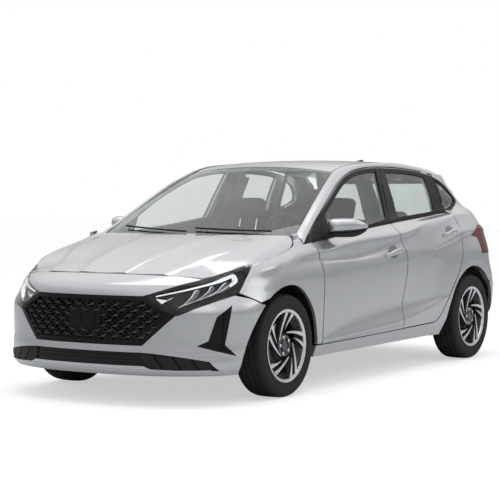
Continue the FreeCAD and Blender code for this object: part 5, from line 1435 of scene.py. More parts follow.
    def brake(self) -> None:
        """Vented disc and its caliper."""
        front = "front" in self.corner.name
        radius = 0.128 if front else 0.118
        back = self.face - 0.096
        profile = [(0.0, 0.070), (0.0, radius), (0.008, radius), (0.008, radius - 0.004),
                   (0.014, radius - 0.004),
                   (0.014, radius), (0.022, radius), (0.022, 0.080), (0.030, 0.074), (0.045, 0.072),
                   (0.045, 0.030), (0.036, 0.030), (0.036, 0.064)]
        disc = Solid()
        disc.lathe([(back + drop, reach) for drop, reach in profile], 96)
        self.place(disc, "brake_disc", DISC)
        caliper = Solid()
        rows = []
        for turn in np.linspace(math.radians(128.0), math.radians(178.0), 9):
            ring = []
            for drop, out in ((-0.020, 0.084), (0.040, 0.084), (0.047, 0.100), (0.044, 0.134), (0.030, 0.142),
                              (-0.016, 0.142), (-0.026, 0.128)):
                ring.append((math.cos(turn) * out, back + drop, math.sin(turn - math.pi / 2) * out))
            rows.append(ring)
        caliper.capped(rows)
        rounded(self.place(caliper, "caliper", DISC, 30.0, self.corner.carrier), 0.003)

    def build(self) -> None:
        """Make the wheel."""
        self.spokes()
        self.rim()
        self.tyre()
        self.brake()


# Doors and windows

def metres(*points: Flat) -> list[Flat]:
    """Flat points given in millimetres, in metres."""
    return [(a / 1000.0, b / 1000.0) for a, b in points]


def inside_skin(depth: float) -> Callable[[Grid], Grid]:
    """Surface that lies a depth inside the car's side."""
    def place(xz: Grid) -> Grid:
        """Points of that surface."""
        return SHELL.side(xz) - np.array([0.0, depth, 0.0])
    return place


BELT = metres((795, 914), (705, 923), (473, 943), (0, 988), (-300, 1010))
REAR_BELT = metres((-308, 1011), (-439, 1021), (-932, 1054), (-1058, 1066), (-1207, 1073))
FRONT_HOLE = outline(
    metres((525, 1078), (498, 1094), (191, 1254), (12, 1318), (-144, 1347), (-305, 1360), (-364, 1362)),
    metres((-364, 1362), (-270, 1041)), metres((-270, 1041), (0, 1010), (473, 966), (515, 962)),
    metres((515, 962), (525, 1078)))
REAR_HOLE = outline(
    metres((-490, 1359), (-729, 1357), (-973, 1343), (-1064, 1331)), metres((-1064, 1331), (-1057, 1092)),
    metres((-1057, 1092), (-932, 1080), (-454, 1051)), metres((-454, 1051), (-490, 1359)))
QUARTER_HOLE = outline(
    metres((-1222, 1314), (-1234, 1098)), metres((-1234, 1098), (-1355, 1124), (-1432, 1160)),
    metres((-1432, 1160), (-1422, 1194), (-1350, 1259), (-1222, 1314)))


@dataclass(frozen=True)
class DoorSet:
    """Dress of a side's doors: black frames, seals, handles and inner cards.

    Attributes:
        side: Side of the car.
        lift: How far the frames stand out of the skin.
        depth: How far their edges turn inwards.
        card: How far the inner cards lie inside the skin.
    """

    side: Side
    lift: float = 0.0012
    depth: float = 0.0075
    card: float = 0.080

    def frames(self) -> None:
        """Black frames of the two windows and of the quarter window."""
        front = outline(
            BELT, metres((-300, 1010), (-401, 1388)),
            metres((-401, 1388), (-305, 1386), (-144, 1374), (12, 1347), (191, 1286), (498, 1126),
                   (784, 968)),
            metres((784, 968), (795, 914)))
        rear = outline(
            REAR_BELT, metres((-1207, 1073), (-1190, 1339)),
            metres((-1190, 1339), (-973, 1369), (-729, 1384), (-486, 1389), (-420, 1389)),
            metres((-420, 1389), (-308, 1011)))
        quarter = outline(
            metres((-1196, 1338), (-1214, 1073)), metres((-1214, 1073), (-1355, 1104), (-1466, 1156)),
            metres((-1466, 1156), (-1471, 1168), (-1453, 1192), (-1350, 1281), (-1196, 1338)))
        sail = straight(*metres((897, 908), (808, 918), (800, 962)))
        jobs = (("window_frame_front", front, FRONT_HOLE, f"front_{self.side.mark}_door"),
                ("window_frame_rear", rear, REAR_HOLE, f"rear_{self.side.mark}_door"),
                ("window_frame_quarter", quarter, QUARTER_HOLE, "body"),
                ("sail_corner", sail, None, "body"))
        for name, ring, hole, body in jobs:
            panel = Panel(f"{name}_{self.side.mark}", ring, SHELL.side, [hole] if hole else [],
                          depth=self.depth, lift=self.lift)
            panel.build(SATIN_BLACK, body, self.side)

    def pillar(self) -> None:
        """Gloss black covers on both sides of the shut line between the doors, and the belt seals."""
        front = straight(*metres((-303, 1016), (-402, 1383), (-374, 1385), (-275, 1018)))
        rear = straight(*metres((-312, 1018), (-421, 1384), (-482, 1384), (-444, 1024)))
        for name, ring, body in (("pillar_cover_front", front, f"front_{self.side.mark}_door"),
                                 ("pillar_cover_rear", rear, f"rear_{self.side.mark}_door")):
            Panel(f"{name}_{self.side.mark}", ring, SHELL.side, depth=0.004, lift=0.0030).build(
                GLOSS_BLACK, body, self.side)
        for name, run, body in (("belt_seal_front", BELT, f"front_{self.side.mark}_door"),
                                ("belt_seal_rear", REAR_BELT, f"rear_{self.side.mark}_door")):
            line = np.array(curved(run, 0.02) + [run[-1]])
            lower = [tuple(p) for p in line + [0.0, 0.003]]
            upper = [tuple(p) for p in (line + [0.0, 0.019])[::-1]]
            Panel(f"{name}_{self.side.mark}", lower + upper, SHELL.side, depth=0.004, lift=0.0034).build(
                RUBBER, body, self.side)

    def handle(self, name: str, x0: float, z0: float, x1: float, z1: float, body: str) -> None:
        """Grip of a door handle, and the cup behind it as a flat dark patch of painted shade.

        Args:
            name: Name of its door.
            x0: Station of the grip's front end.
            z0: Height of that end.
            x1: Station of its rear end.
            z1: Height of that end.
            body: Body that it moves with.
        """
        start, stop = np.array([x0, z0]), np.array([x1, z1])
        way = (stop - start) / np.linalg.norm(stop - start)
        over = np.array([-way[1], way[0]])
        if over[1] < 0:
            over = -over
        middle = start + (stop - start) * 0.55
        ring = []
        for t in bearings(40):
            ring.append(tuple(middle + way * 0.066 * math.cos(t) + over * (0.006 + 0.043 * math.sin(t))))
        # The cup is a flat patch just off the skin, darker than the body: painted shade of the recess behind
        # the grip.
        Panel(f"handle_cup_{name}_{self.side.mark}", ring, SHELL.side, pitch=0.012, depth=0.003,
              lift=0.0012).build(
            HANDLE_CUP_SHADE, body, self.side)
        rows = []
        length = float(np.linalg.norm(stop - start))
        for t in np.linspace(0.0, 1.0, 25):
            swell = math.sin(math.pi * t)
            place = start + way * length * t + over * 0.010 * swell
            out = 0.006 + 0.030 * swell ** 0.45
            tall = 0.013 + 0.006 * swell
            thick = 0.006 + 0.004 * swell
            skin = SHELL.side(np.array([place]))[0]
            ring = []
            for a in bearings(16):
                rise = tall * math.sin(a)
                ring.append((skin[0] + over[0] * rise, skin[1] + out + thick * math.cos(a),
                             skin[2] + over[1] * rise))
            rows.append(ring)
        loft(rows, f"handle_grip_{name}_{self.side.mark}", SILVER, body, 50.0, self.side)

    def cards(self) -> None:
        """Inner cards of the doors, each with a ledge."""
        front = outline(
            metres((690, 360), (-235, 385)), metres((-235, 385), (-270, 1015)),
            metres((-270, 1015), (0, 990), (473, 946), (690, 924)), metres((690, 924), (690, 360)))
        rear = outline(
            metres((-372, 400), (-930, 470)), metres((-930, 470), (-1080, 720), (-1165, 900)),
            metres((-1165, 900), (-1180, 1062)), metres((-1180, 1062), (-932, 1056), (-355, 1018)),
            metres((-355, 1018), (-372, 400)))
        jobs = (("front", front, 0.46, -0.22, 0.80), ("rear", rear, -0.42, -1.02, 0.84))
        for name, ring, x0, x1, z in jobs:
            body = f"{name}_{self.side.mark}_door"
            Panel(f"door_card_{name}_{self.side.mark}", ring, inside_skin(self.card), pitch=0.05,
                  depth=0.004).build(
                CABIN_PLASTIC, body, self.side, (0, -1, 0))
            rows = []
            for x in np.linspace(x0, x1, 15):
                y = float(SHELL.width(x, z)) - self.card
                rows.append([(x, y - 0.002, z - 0.045), (x, y - 0.045, z - 0.030), (x, y - 0.052, z - 0.008),
                             (x, y - 0.046, z + 0.004), (x, y - 0.002, z + 0.010)])
            rounded(loft(rows, f"arm_rest_{name}_{self.side.mark}", CABIN_GREY, body, 40.0, self.side), 0.004)

    def mirror(self) -> None:
        """Outside mirror: silver shell over a black base, its stalk and its glass."""
        middle = np.array([0.505, 0.905, 1.003])
        turn = math.radians(50.0)
        ahead = np.array([math.cos(turn), math.sin(turn), 0.0])
        along = np.array([-math.sin(turn), math.cos(turn), 0.0])
        shell, under = [], []
        for t in np.linspace(-0.985, 0.992, 33):
            ends = (1 - abs(t) ** (7.0 if t < 0 else 2.6)) ** 0.5
            taper = max(t - 0.05, 0.0) ** 1.7
            top, foot = 1.062 - 0.040 * taper, 0.942 + 0.034 * taper
            seam = 0.966 + 0.016 * (t + 1) / 2 + 0.012 * taper
            centre = (top + seam) / 2
            sweep = -0.022 * max(t, 0.0) ** 1.6
            full, half = [], []
            for a in bearings(36):
                c, s = math.cos(a), math.sin(a)
                deep = math.copysign(abs(c) ** 0.85, c) * (0.064 if c > 0 else 0.040) * ends + sweep
                tall = math.copysign(abs(s) ** 0.75, s)
                p = middle + along * 0.138 * t + ahead * deep
                reach = (top - centre) * (0.35 + 0.65 * ends)
                full.append((p[0], p[1], centre + reach * tall))
                q = middle + along * 0.132 * t + ahead * deep * 0.93
                low, high = centre - (centre - foot) * (0.40 + 0.60 * ends), seam + 0.006
                half.append((q[0], q[1], (low + high) / 2 + (high - low) / 2 * tall))
            shell.append(full)
            under.append(half)
        body = f"front_{self.side.mark}_door"
        made = loft(shell, f"mirror_shell_{self.side.mark}", SILVER, body, 50.0, self.side)
        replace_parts(made, f"mirror_{self.side.mark}")
        loft(under, f"mirror_base_{self.side.mark}", SATIN_BLACK, body, 50.0, self.side)
        rows = []
        for t in np.linspace(0.0, 1.0, 9):
            x = 0.640 - 0.085 * t
            y = 0.800 + 0.070 * t
            z = 0.945 + 0.020 * t
            wide, tall = 0.060 - 0.022 * t, 0.026 - 0.006 * t
            rows.append([(x - 0.030 + wide * math.cos(a) * 0.6, y, z + 0.012 + tall * math.sin(a))
                         for a in bearings(16)])
        loft(rows, f"mirror_stalk_{self.side.mark}", SATIN_BLACK, body, 50.0, self.side)
        rows = []
        for reach, deep in ((0.90, -0.0385), (0.92, -0.0415), (0.88, -0.0430)):
            ring = []
            for a in bearings(36):
                c, s = math.cos(a), math.sin(a)
                p = middle + along * (-0.010 + 0.105 * reach * math.copysign(abs(c) ** 0.6,
                                                                             c)) + ahead * (deep - 0.002)
                ring.append(tuple(p + np.array([0.0, 0.0,
                                                0.006 + 0.034 * reach * math.copysign(abs(s) ** 0.7, s)])))
            rows.append(ring)
        loft(rows, f"mirror_glass_{self.side.mark}", MIRROR, body, 40.0, self.side)

    def build(self) -> None:
        """Make the side's pieces."""
        self.frames()
        self.pillar()
        self.handle("front", -0.062, 0.805, -0.268, 0.832, f"front_{self.side.mark}_door")
        self.handle("rear", -0.948, 0.918, -1.150, 0.944, f"rear_{self.side.mark}_door")
        self.cards()
        self.mirror()


# Front end

GRILLE_TIP = (586, 539)
GRILLE_CORNERS = ((388, 637), GRILLE_TIP, (392, 354), (-392, 354), (-586, 539), (-388, 637))
LAMP_LOW = ((1611, 809, 649), (1647, 798, 634), (1760, 741, 603), (1848, 670, 568), (1908, 581, 525))
LAMP_HIGH = ((1965, 386, 638), (1909, 497, 675), (1832, 582, 706), (1746, 647, 729), (1648, 699, 759),
             (1536, 763, 791), (1452, 799, 811))
VENT_CORNERS = ((1684, 809, 584), (1733, 791, 358), (1668, 829, 291), (1854, 677, 354), (1809, 727, 383),
                (1772, 761, 518))


def nose_flat(*points: Point) -> list[Flat]:
    """Flat nose points of places given in millimetres."""
    return [SHELL.on_nose(x / 1000.0, y / 1000.0, z / 1000.0) for x, y, z in points]


def nose_ring(*corners: Flat) -> list[Flat]:
    """Closed outline on the nose between corners given as half widths and heights in millimetres."""
    ring = straight(*metres(*corners))
    return [SHELL.nose_at(y, z) for y, z in ring]


def set_back(depth: float) -> Callable[[Grid], Grid]:
    """Surface that lies a depth behind the nose, measured along the car and across it."""
    def place(wz: Grid) -> Grid:
        """Points of that surface."""
        points = SHELL.nose(wz)
        angle = wz[:, 0] / SHELL.NOSE_SCALE
        return points - np.stack([np.cos(angle), np.sin(angle), np.zeros(len(wz))], axis=1) * depth
    return place


def bar_section(line: Sequence[Flat], front: float, rear: float) -> list[Point]:
    """Corners of a bar's section on two flat nose points, between two depths behind the nose."""
    near, far = set_back(front)(np.array(line)), set_back(rear)(np.array(line))
    return [tuple(near[0]), tuple(near[1]), tuple(far[1]), tuple(far[0])]


@dataclass(frozen=True)
class FrontEnd:
    """Grille, intake, corner vents and lip of the front bumper.

    Attributes:
        border: Width of the grille's plain border.
        pitch: Distance between the mesh's crossings across the car.
        back: How far the mesh lies behind the nose.
        centre: Height of the grille's middle.
        clear: Half width and half height that the mesh leaves free for the sensor panel.
    """

    border: float = 0.024
    pitch: float = 0.084
    back: float = 0.0085
    centre: float = 0.496
    clear: Flat = (0.105, 0.046)

    def strip(self, start: Flat, stop: Flat, half: float, depth: float, steps: int = 6) -> list[list[Point]]:
        """Rows of a flat bar between two places of the nose."""
        a, b = np.array(start), np.array(stop)
        rows = []
        line = [SHELL.nose_at(*(a + (b - a) * t)) for t in np.linspace(0, 1, steps)]
        points = set_back(depth)(np.array(line))
        rear = set_back(depth + 0.010)(np.array(line))
        way = np.array([0.0, *(b - a)])
        way /= np.linalg.norm(way)
        over = np.cross(np.array([1.0, 0.0, 0.0]), way) * half
        for p, q in zip(points, rear):
            rows.append([tuple(p + over), tuple(p - over), tuple(q - over * 1.1), tuple(q + over * 1.1)])
        return rows

    def mesh(self) -> None:
        """Staggered bars, with a wing of brighter metal at each crossing as painted highlight, clear of the
        middle panel.
        """
        wide, tall = self.pitch / 2, self.pitch / 2 * 0.72
        ring = metres(*GRILLE_CORNERS)
        inner = inset(straight(*ring), self.border * 0.6)
        bars, wing_highlights = Solid(), Solid()
        for row in range(-6, 7):
            for column in range(-16, 17):
                if (row + column) % 2:
                    continue
                y, z = column * wide, self.centre + row * tall
                for way in (1, -1):
                    ends = np.array([(y, z), (y + wide, z + way * tall)])
                    middle = ends.mean(axis=0)
                    if (abs(middle[0]) < self.clear[0] + wide / 2
                            and abs(middle[1] - self.centre) < self.clear[1] + tall / 2):
                        continue
                    if within(inner, ends).all():
                        bars.capped(self.strip(ends[0], ends[1], 0.0030, self.back, 4))
                # Each wing is a small plate of brighter metal at the crossing: painted highlight on the apex
                # of the gloss black wing.
                apex = np.array([(y - 0.020, z - 0.004), (y + 0.020, z - 0.004), (y, z + 0.010)])
                if not within(inner, apex).all() or (abs(y) < 0.115 and abs(z - self.centre) < 0.055):
                    continue
                out = -1.0 if y > 0 else 1.0
                shape = np.array([(-0.034 * out, 0.013), (-0.010 * out, -0.001), (0.028 * out, -0.010),
                                  (0.006 * out, -0.009), (-0.014 * out, -0.007)])
                flat = np.array([SHELL.nose_at(y + u, z + v) for u, v in shape])
                front = set_back(self.back - 0.0042)(flat)
                rear = set_back(self.back + 0.003)(flat)
                wing_highlights.capped([[tuple(p) for p in rear], [tuple(p) for p in front]])
        bars.piece("grille_mesh", GLOSS_BLACK, "body", angle=25.0)
        wing_highlights.piece("grille_wings", WING_HIGHLIGHT, "body", smooth=False)

    def grille(self) -> None:
        """Border, sensor panel and the bars that run beside the lower corners."""
        ring = metres(*GRILLE_CORNERS)
        outer = [SHELL.nose_at(*p) for p in inset(straight(*ring), 0.001)]
        hole = [SHELL.nose_at(*p) for p in inset(straight(*ring), self.border)]
        Panel("grille_border", outer, SHELL.nose, [hole], depth=0.016, hem=0.0015, lift=-0.0015).build(
            GLOSS_BLACK, "body", outward=(1, 0, 0))
        panel = nose_ring((-104, 452), (104, 452), (112, 496), (104, 540), (-104, 540), (-112, 496))
        slits = [nose_ring((-34, 460), (-27, 460), (-27, 532), (-34, 532)),
                 nose_ring((58, 460), (66, 460), (78, 532), (70, 532))]
        Panel("grille_sensor", panel, set_back(0.0035), slits, hem=0.0015).build(
            GLOSS_BLACK, "body", outward=(1, 0, 0))
        guides = Solid()
        for sign in (1.0, -1.0):
            for start, stop in (((0.430, 0.618), (0.516, 0.541)), ((0.516, 0.541), (0.356, 0.372)),
                                ((0.475, 0.600), (0.538, 0.540))):
                a, b = (start[0] * sign, start[1]), (stop[0] * sign, stop[1])
                guides.capped(self.strip(a, b, 0.0036, 0.0050))
        guides.piece("grille_guides", GLOSS_BLACK, "body", angle=25.0)

    def intake(self) -> None:
        """Slats in the middle of the intake and the blocks at its ends."""
        slats, blocks = Solid(), Solid()
        for z, reach in ((0.292, 0.40), (0.270, 0.405)):
            rows = []
            for y in np.linspace(-reach, reach, 41):
                line = [SHELL.nose_at(float(y), z), SHELL.nose_at(float(y), z - 0.007)]
                rows.append(bar_section(line, 0.006, 0.018))
            slats.capped(rows)
        ends = (((400, 238), (440, 224), (520, 219), (455, 304), (385, 314)),
                ((526, 219), (610, 217), (560, 298), (462, 303)),
                ((617, 217), (690, 215), (652, 286), (567, 297)),
                ((697, 215), (766, 213), (734, 262), (659, 284)))
        for sign in (1, -1):
            for corners in ends:
                ring = inset(straight(*metres(*corners), pitch=0.03), 0.002)
                flat = np.array([SHELL.nose_at(y * sign, z) for y, z in ring])
                middle = flat.mean(axis=0)
                rows = []
                for share, depth in ((1.0, 0.014), (1.0, 0.005), (0.94, 0.0025)):
                    points = set_back(depth)(middle + (flat - middle) * share)
                    rows.append([tuple(p) for p in points])
                blocks.capped(rows)
        slats.piece("intake_slats", SATIN_BLACK, "body", angle=25.0)
        blocks.piece("intake_blocks", SATIN_BLACK, "body", angle=25.0)

    def lip(self) -> None:
        """Bright edge along the foot of the bumper and the ribs of the corner vents."""
        line = [SHELL.nose_at(y, 0.2125) for y in np.linspace(-0.74, 0.74, 75)]
        rows = [bar_section([(w, z - 0.006), (w, z + 0.005)], -0.0045, 0.006) for w, z in line]
        loft(rows, "bumper_lip", SILVER, "body", 30.0)
        for side in Side:
            mark = side.mark
            corners = nose_flat(*VENT_CORNERS)
            outer = inset(straight(*corners), 0.001)
            hole = inset(straight(*corners), 0.010)
            Panel("vent_rim_" + mark, outer, SHELL.nose, [hole], depth=0.010, hem=0.001, lift=-0.0006).build(
                GLOSS_BLACK, "body", side, (1, 1, 0))
            ribs = Solid()
            front = [Curve([(z / 1000.0, SHELL.on_nose(x / 1000.0, y / 1000.0, z / 1000.0)[0])
                            for x, y, z in run]) for run in (VENT_CORNERS[3:] + VENT_CORNERS[:1],
                                                             VENT_CORNERS[:2])]
            for z in np.linspace(0.402, 0.548, 6):
                near, far = float(front[0](z)) + 0.008, float(front[1](z)) - 0.006
                ribs.capped([bar_section([(w, z + 0.0035), (w, z - 0.0035)], 0.0030, 0.0095)
                             for w in np.linspace(near, far, 6)])
            ribs.piece("vent_ribs_" + mark, GLOSS_BLACK, "body", angle=25.0, side=side)

    def build(self) -> None:
        """Make the front end's pieces."""
        self.grille()
        self.mesh()
        self.intake()
        self.lip()


@dataclass(frozen=True)
class Headlamp:
    """Swept-back lamp: dark pan, light guide, fins, chrome corners and a clear lens.

    Attributes:
        side: Side of the car.
        deep: How far the pan lies behind the lens.
    """

    side: Side
    deep: float = 0.034

    def bar(self, shape: Solid, start: Flat, stop: Flat, widths: Flat, depths: Flat, steps: int = 10) -> None:
        """Add a bar over the pan between two flat places.

        Args:
            shape: Where it is gathered.
            start: First flat place.
            stop: Last flat place.
            widths: Half widths at both ends.
            depths: How far its front and its back lie behind the lens.
            steps: Stations along it.
        """
        a, b = np.array(start), np.array(stop)
        way = (b - a) / np.linalg.norm(b - a)
        over = np.array([-way[1], way[0]])
        rows = []
        for t in np.linspace(0, 1, steps):
            middle = a + (b - a) * t
            half = widths[0] + (widths[1] - widths[0]) * t
            rows.append(bar_section([middle + over * half, middle - over * half], *depths))
        shape.capped(rows)

    def build(self) -> None:
        """Make the lamp."""
        mark = self.side.mark
        top = nose_flat(*LAMP_HIGH)
        low = nose_flat(*LAMP_LOW)
        ring = outline(top, [top[-1], low[0]], low, [low[-1], top[0]])
        ring = inset(ring, 0.0015)
        lens = Panel("lamp_lens_" + mark, ring, SHELL.nose, depth=0.004)
        made = lens.build(LENS, "body", self.side, (1, 1, 0))
        if self.side is Side.LEFT:
            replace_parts(made, "headlamps")
        Panel("lamp_pan_" + mark, inset(ring, 0.002), set_back(self.deep), depth=0.006).build(
            LAMP_BLACK, "body", self.side, (1, 1, 0))
        walls = Solid()
        flat = np.array(inset(ring, 0.0016))
        rows = [set_back(depth)(flat) for depth in (0.0045, self.deep + 0.004)]
        walls.grid([[tuple(p) for p in row] for row in rows], around=True)
        walls.piece("lamp_wall_" + mark, LAMP_BLACK, "body", angle=40.0, side=self.side)
        border = inset(ring, 0.014)
        Panel("lamp_border_" + mark, inset(ring, 0.0025), set_back(0.0065), [border], depth=0.003).build(
            GLOSS_BLACK, "body", self.side, (1, 1, 0))
        guide, chrome, fins = Solid(), Solid(), Solid()
        p = {key: nose_flat(value)[0] for key, value in {
            "tip": (1941, 456, 634), "knee": (1592, 757, 754), "heel": (1652, 780, 688),
            "under": (1898, 590, 574), "back": (1700, 768, 668)}.items()}
        self.bar(guide, p["tip"], p["knee"], (0.0040, 0.0075), (0.012, 0.020), 24)
        self.bar(guide, (p["knee"][0] - 0.004, p["knee"][1] + 0.004), p["heel"], (0.0095, 0.0095),
                 (0.012, 0.020))
        self.bar(chrome, p["under"], p["back"], (0.0018, 0.0018), (0.010, 0.016), 16)
        w0, z0 = p["tip"]
        self.bar(chrome, (w0 + 0.010, z0 - 0.014), (w0 + 0.080, z0 - 0.032), (0.0015, 0.0120), (0.016, 0.026))
        self.bar(chrome, (w0 + 0.092, z0 - 0.006), (w0 + 0.076, z0 - 0.052), (0.0024, 0.0030), (0.011, 0.018))
        self.bar(chrome, (w0 + 0.076, z0 - 0.052), (w0 + 0.102, z0 - 0.060), (0.0030, 0.0020), (0.011, 0.018))
        span = np.array(p["back"]) - np.array(p["under"])
        rise = np.array(p["knee"]) - np.array(p["tip"])
        for share, wide in ((0.10, 0.030), (0.34, 0.028), (0.56, 0.028), (0.77, 0.026)):
            foot = np.array(p["under"]) + span * (share + 0.02)
            head = np.array(p["tip"]) + rise * (0.27 + 0.70 * share + 0.06) - np.array([0.0, 0.018])
            lean = (head - foot) / np.linalg.norm(head - foot)
            self.bar(fins, tuple(foot + [wide * 0.5, 0.004]), tuple(head + [wide * 0.5, 0.0]),
                     (wide * 0.34, wide * 0.34), (0.014, 0.026), 8)
            self.bar(chrome, tuple(foot + lean * 0.004), tuple(head), (0.0016, 0.0026), (0.010, 0.022), 8)
            self.bar(chrome, tuple(head), tuple(head + [wide * 0.45, 0.005]), (0.0026, 0.0016),
                     (0.010, 0.018), 4)
        guide.piece("light_guide_" + mark, LIGHT_GUIDE, "body", angle=30.0, side=self.side)
        chrome.piece("lamp_chrome_" + mark, CHROME, "body", angle=30.0, side=self.side)
        fins.piece("lamp_fins_" + mark, REFLECTOR, "body", angle=30.0, side=self.side)


# Rear end

@dataclass(frozen=True)
class RearCorner:
    """Tail lamp lenses and the body's corner above and below them.

    Attributes:
        side: Side of the car.
    """

    side: Side

    def build(self) -> None:
        """Make the corner's pieces."""
        mark = self.side.mark
        at = SHELL.tail_by_station
        edge = SHELL.tail_at
        side_lens = outline(metres((-1413, 906), (-1480, 944), (-1547, 978)),
                            metres((-1547, 978), (-1742, 972)),
                            metres((-1742, 972), (-1742, 768)), metres((-1742, 768), (-1552, 771)),
                            metres((-1552, 771), (-1538, 830), (-1508, 890)),
                            metres((-1508, 890), (-1413, 906)))
        Panel("tail_lens_side_" + mark, side_lens, SHELL.side, depth=0.003, hem=0.0016, lift=0.0030).build(
            RED_LENS, "body", self.side)
        lamp = outline([at(-1.742, .972), edge(.640, .970), edge(.596, .960)],
                       [edge(.596, .960), edge(.596, .776)],
                       [edge(.596, .776), at(-1.742, .768)], [at(-1.742, .768), at(-1.742, .972)])
        Panel("tail_lens_" + mark, lamp, SHELL.tail, depth=0.008, hem=0.0016, lift=0.0030).build(
            RED_LENS, "body", self.side, (-1, 1, 0))
        upper = outline([at(-1.592, .985), edge(.640, .978), edge(.596, .966)],
                        [edge(.596, .966), edge(.590, 1.000), edge(.565, 1.150), edge(.538, 1.250)],
                        [edge(.538, 1.250), at(-1.535, 1.250)],
                        [at(-1.535, 1.250), at(-1.560, 1.150), at(-1.592, 1.050), at(-1.592, .985)])
        lower = outline([at(-1.756, .686), edge(.593, .686)], [edge(.593, .686), edge(.593, .772)],
                        [edge(.593, .772), at(-1.756, .764)], [at(-1.756, .764), at(-1.756, .686)])
        for name, ring in (("rear_corner_upper_", upper), ("rear_corner_lower_", lower)):
            Panel(name + mark, ring, SHELL.tail, depth=0.010, lift=0.0006).build(
                SILVER, "body", self.side, (-1, 1, 0))


# Bonnet, roof ditches and wipers

OUTER_FOLD = Curve([(0.95, 0.650), (1.031, 0.635), (1.376, 0.587), (1.569, 0.503), (1.758, 0.440),
                    (1.90, 0.40)])
INNER_FOLD = Curve([(0.95, 0.285), (1.20, 0.245), (1.462, 0.212), (1.655, 0.190), (1.855, 0.162),
                    (1.95, 0.15)])


@dataclass(frozen=True)
class Top:
    """Bonnet's skin with its folds, mouldings of the roof's ditches and the wipers.

    Attributes:
        relief: Height of the bonnet's outer folds.
        inner: Height of its inner folds.
    """

    relief: float = 0.0060
    inner: float = 0.0048

    def fold(self, y: Grid, line: Grid, inside: float, outside: float) -> Grid:
        """Rise of a fold across the bonnet, from 0 to 1 at its line."""
        gap = y - line
        return np.where(gap < 0, np.exp(-(gap / inside) ** 2), np.exp(-(gap / outside) ** 2))

    def creased(self, xy: Grid) -> Grid:
        """Points of the bonnet with its four folds."""
        points = SHELL.bonnet(xy)
        x, y = xy[:, 0], np.abs(xy[:, 1])
        rise = self.relief * np.clip((x - 0.96) / 0.25, 0, 1) * self.fold(y, OUTER_FOLD(x), 0.16, 0.012)
        rise += self.inner * np.clip((x - 1.02) / 0.45, 0, 1) * self.fold(y, INNER_FOLD(x), 0.090, 0.010)
        points[:, 2] += rise
        return points

    def bonnet(self) -> None:
        """Outer skin of the bonnet."""
        half = metres((1002, 0), (994, 400), (975, 738))
        side = metres((975, 738), (998, 786), (1050, 802), (1110, 808), (1300, 808), (1450, 793), (1534, 756),
                      (1646, 692), (1741, 642))
        nose = metres((1741, 642), (1787, 516), (1831, 333), (1848, 165), (1853, 0))
        flat = outline(half, side, nose)
        other = [(x, -y) for x, y in reversed(flat[1:])]
        guides = []
        for x in even(0.98, 1.85, 0.014):
            outer, near = float(OUTER_FOLD(x)), float(INNER_FOLD(x))
            levels = [0.0, 0.06, 0.11]
            for line in (near, outer):
                levels += [line + step for step in (-0.045, -0.02, -0.008, 0.0, 0.004, 0.009, 0.016)]
            levels += [(near + outer) / 2, (near + outer) / 2 + 0.05, outer + 0.05, 0.70, 0.73, 0.76, 0.785]
            guides += [(float(x), sign * y) for y in levels for sign in (1.0, -1.0)]
        ring = flat + [nose[-1]] + other[:-1]
        skin = Panel("bonnet_skin", ring, self.creased, guides=np.array(sorted(set(guides))), depth=0.006,
                     lift=0.0014)
        skin.build(SILVER, "bonnet_lid", outward=(0, 0, 1))

    def ditches(self) -> None:
        """Black mouldings in the roof's ditches."""
        shape = Solid()
        for sign in (1.0, -1.0):
            rows = []
            for x in np.linspace(0.100, -1.250, 40):
                z = float(SHELL.roof_edge(x))
                y = 0.562 - 0.012 * max(0.0, (-x - 0.9))
                ring = [(-0.007, -0.004), (0.007, -0.006), (0.007, 0.0016), (0.0, 0.0034), (-0.007, 0.0026)]
                rows.append([(x, sign * (y + a), z + b) for a, b in ring])
            shape.capped(rows)
        shape.piece("roof_ditches", SATIN_BLACK, "body", angle=40.0)

    def wipers(self) -> None:
        """Wiper arms and blades on the screen's foot."""
        shape = Solid()
        half = 0.736
        for y0, y1 in ((0.58, 0.02), (-0.02, -0.58)):
            line = []
            for t in np.linspace(0.0, 1.0, 14):
                y = y0 + (y1 - y0) * t
                edge = 0.985 - 0.105 * (y / half) ** 2
                reach = 0.018 + 0.040 * t
                line.append((edge - reach, y, 0.957 + reach * 0.52 + 0.0125 + 0.012 * (y / half) ** 2))
            shape.tube(line, 0.0055, 8)
        shape.piece("wiper_blades", SATIN_BLACK, "body", angle=40.0)

    def build(self) -> None:
        """Make the pieces on top of the body."""
        self.bonnet()
        self.ditches()
        self.wipers()


# Cabin

@dataclass(frozen=True)
class Frame:
    """Leaning frame that a pad is drawn in.

    Attributes:
        origin: Its origin.
        lean: How far it leans back, in degrees.
    """

    origin: Point
    lean: float = 0.0

    def world(self, points: Grid) -> Grid:
        """Points of this frame, in the car's own."""
        turn = math.radians(-self.lean)
        x = points[..., 0] * math.cos(turn) + points[..., 2] * math.sin(turn)
        z = points[..., 2] * math.cos(turn) - points[..., 0] * math.sin(turn)
        return np.stack([x, points[..., 1], z], axis=-1) + np.array(self.origin)


SEAM_DEPTH = 0.006
SEAM_WIDTH = 0.009
ROUNDNESS = 0.34


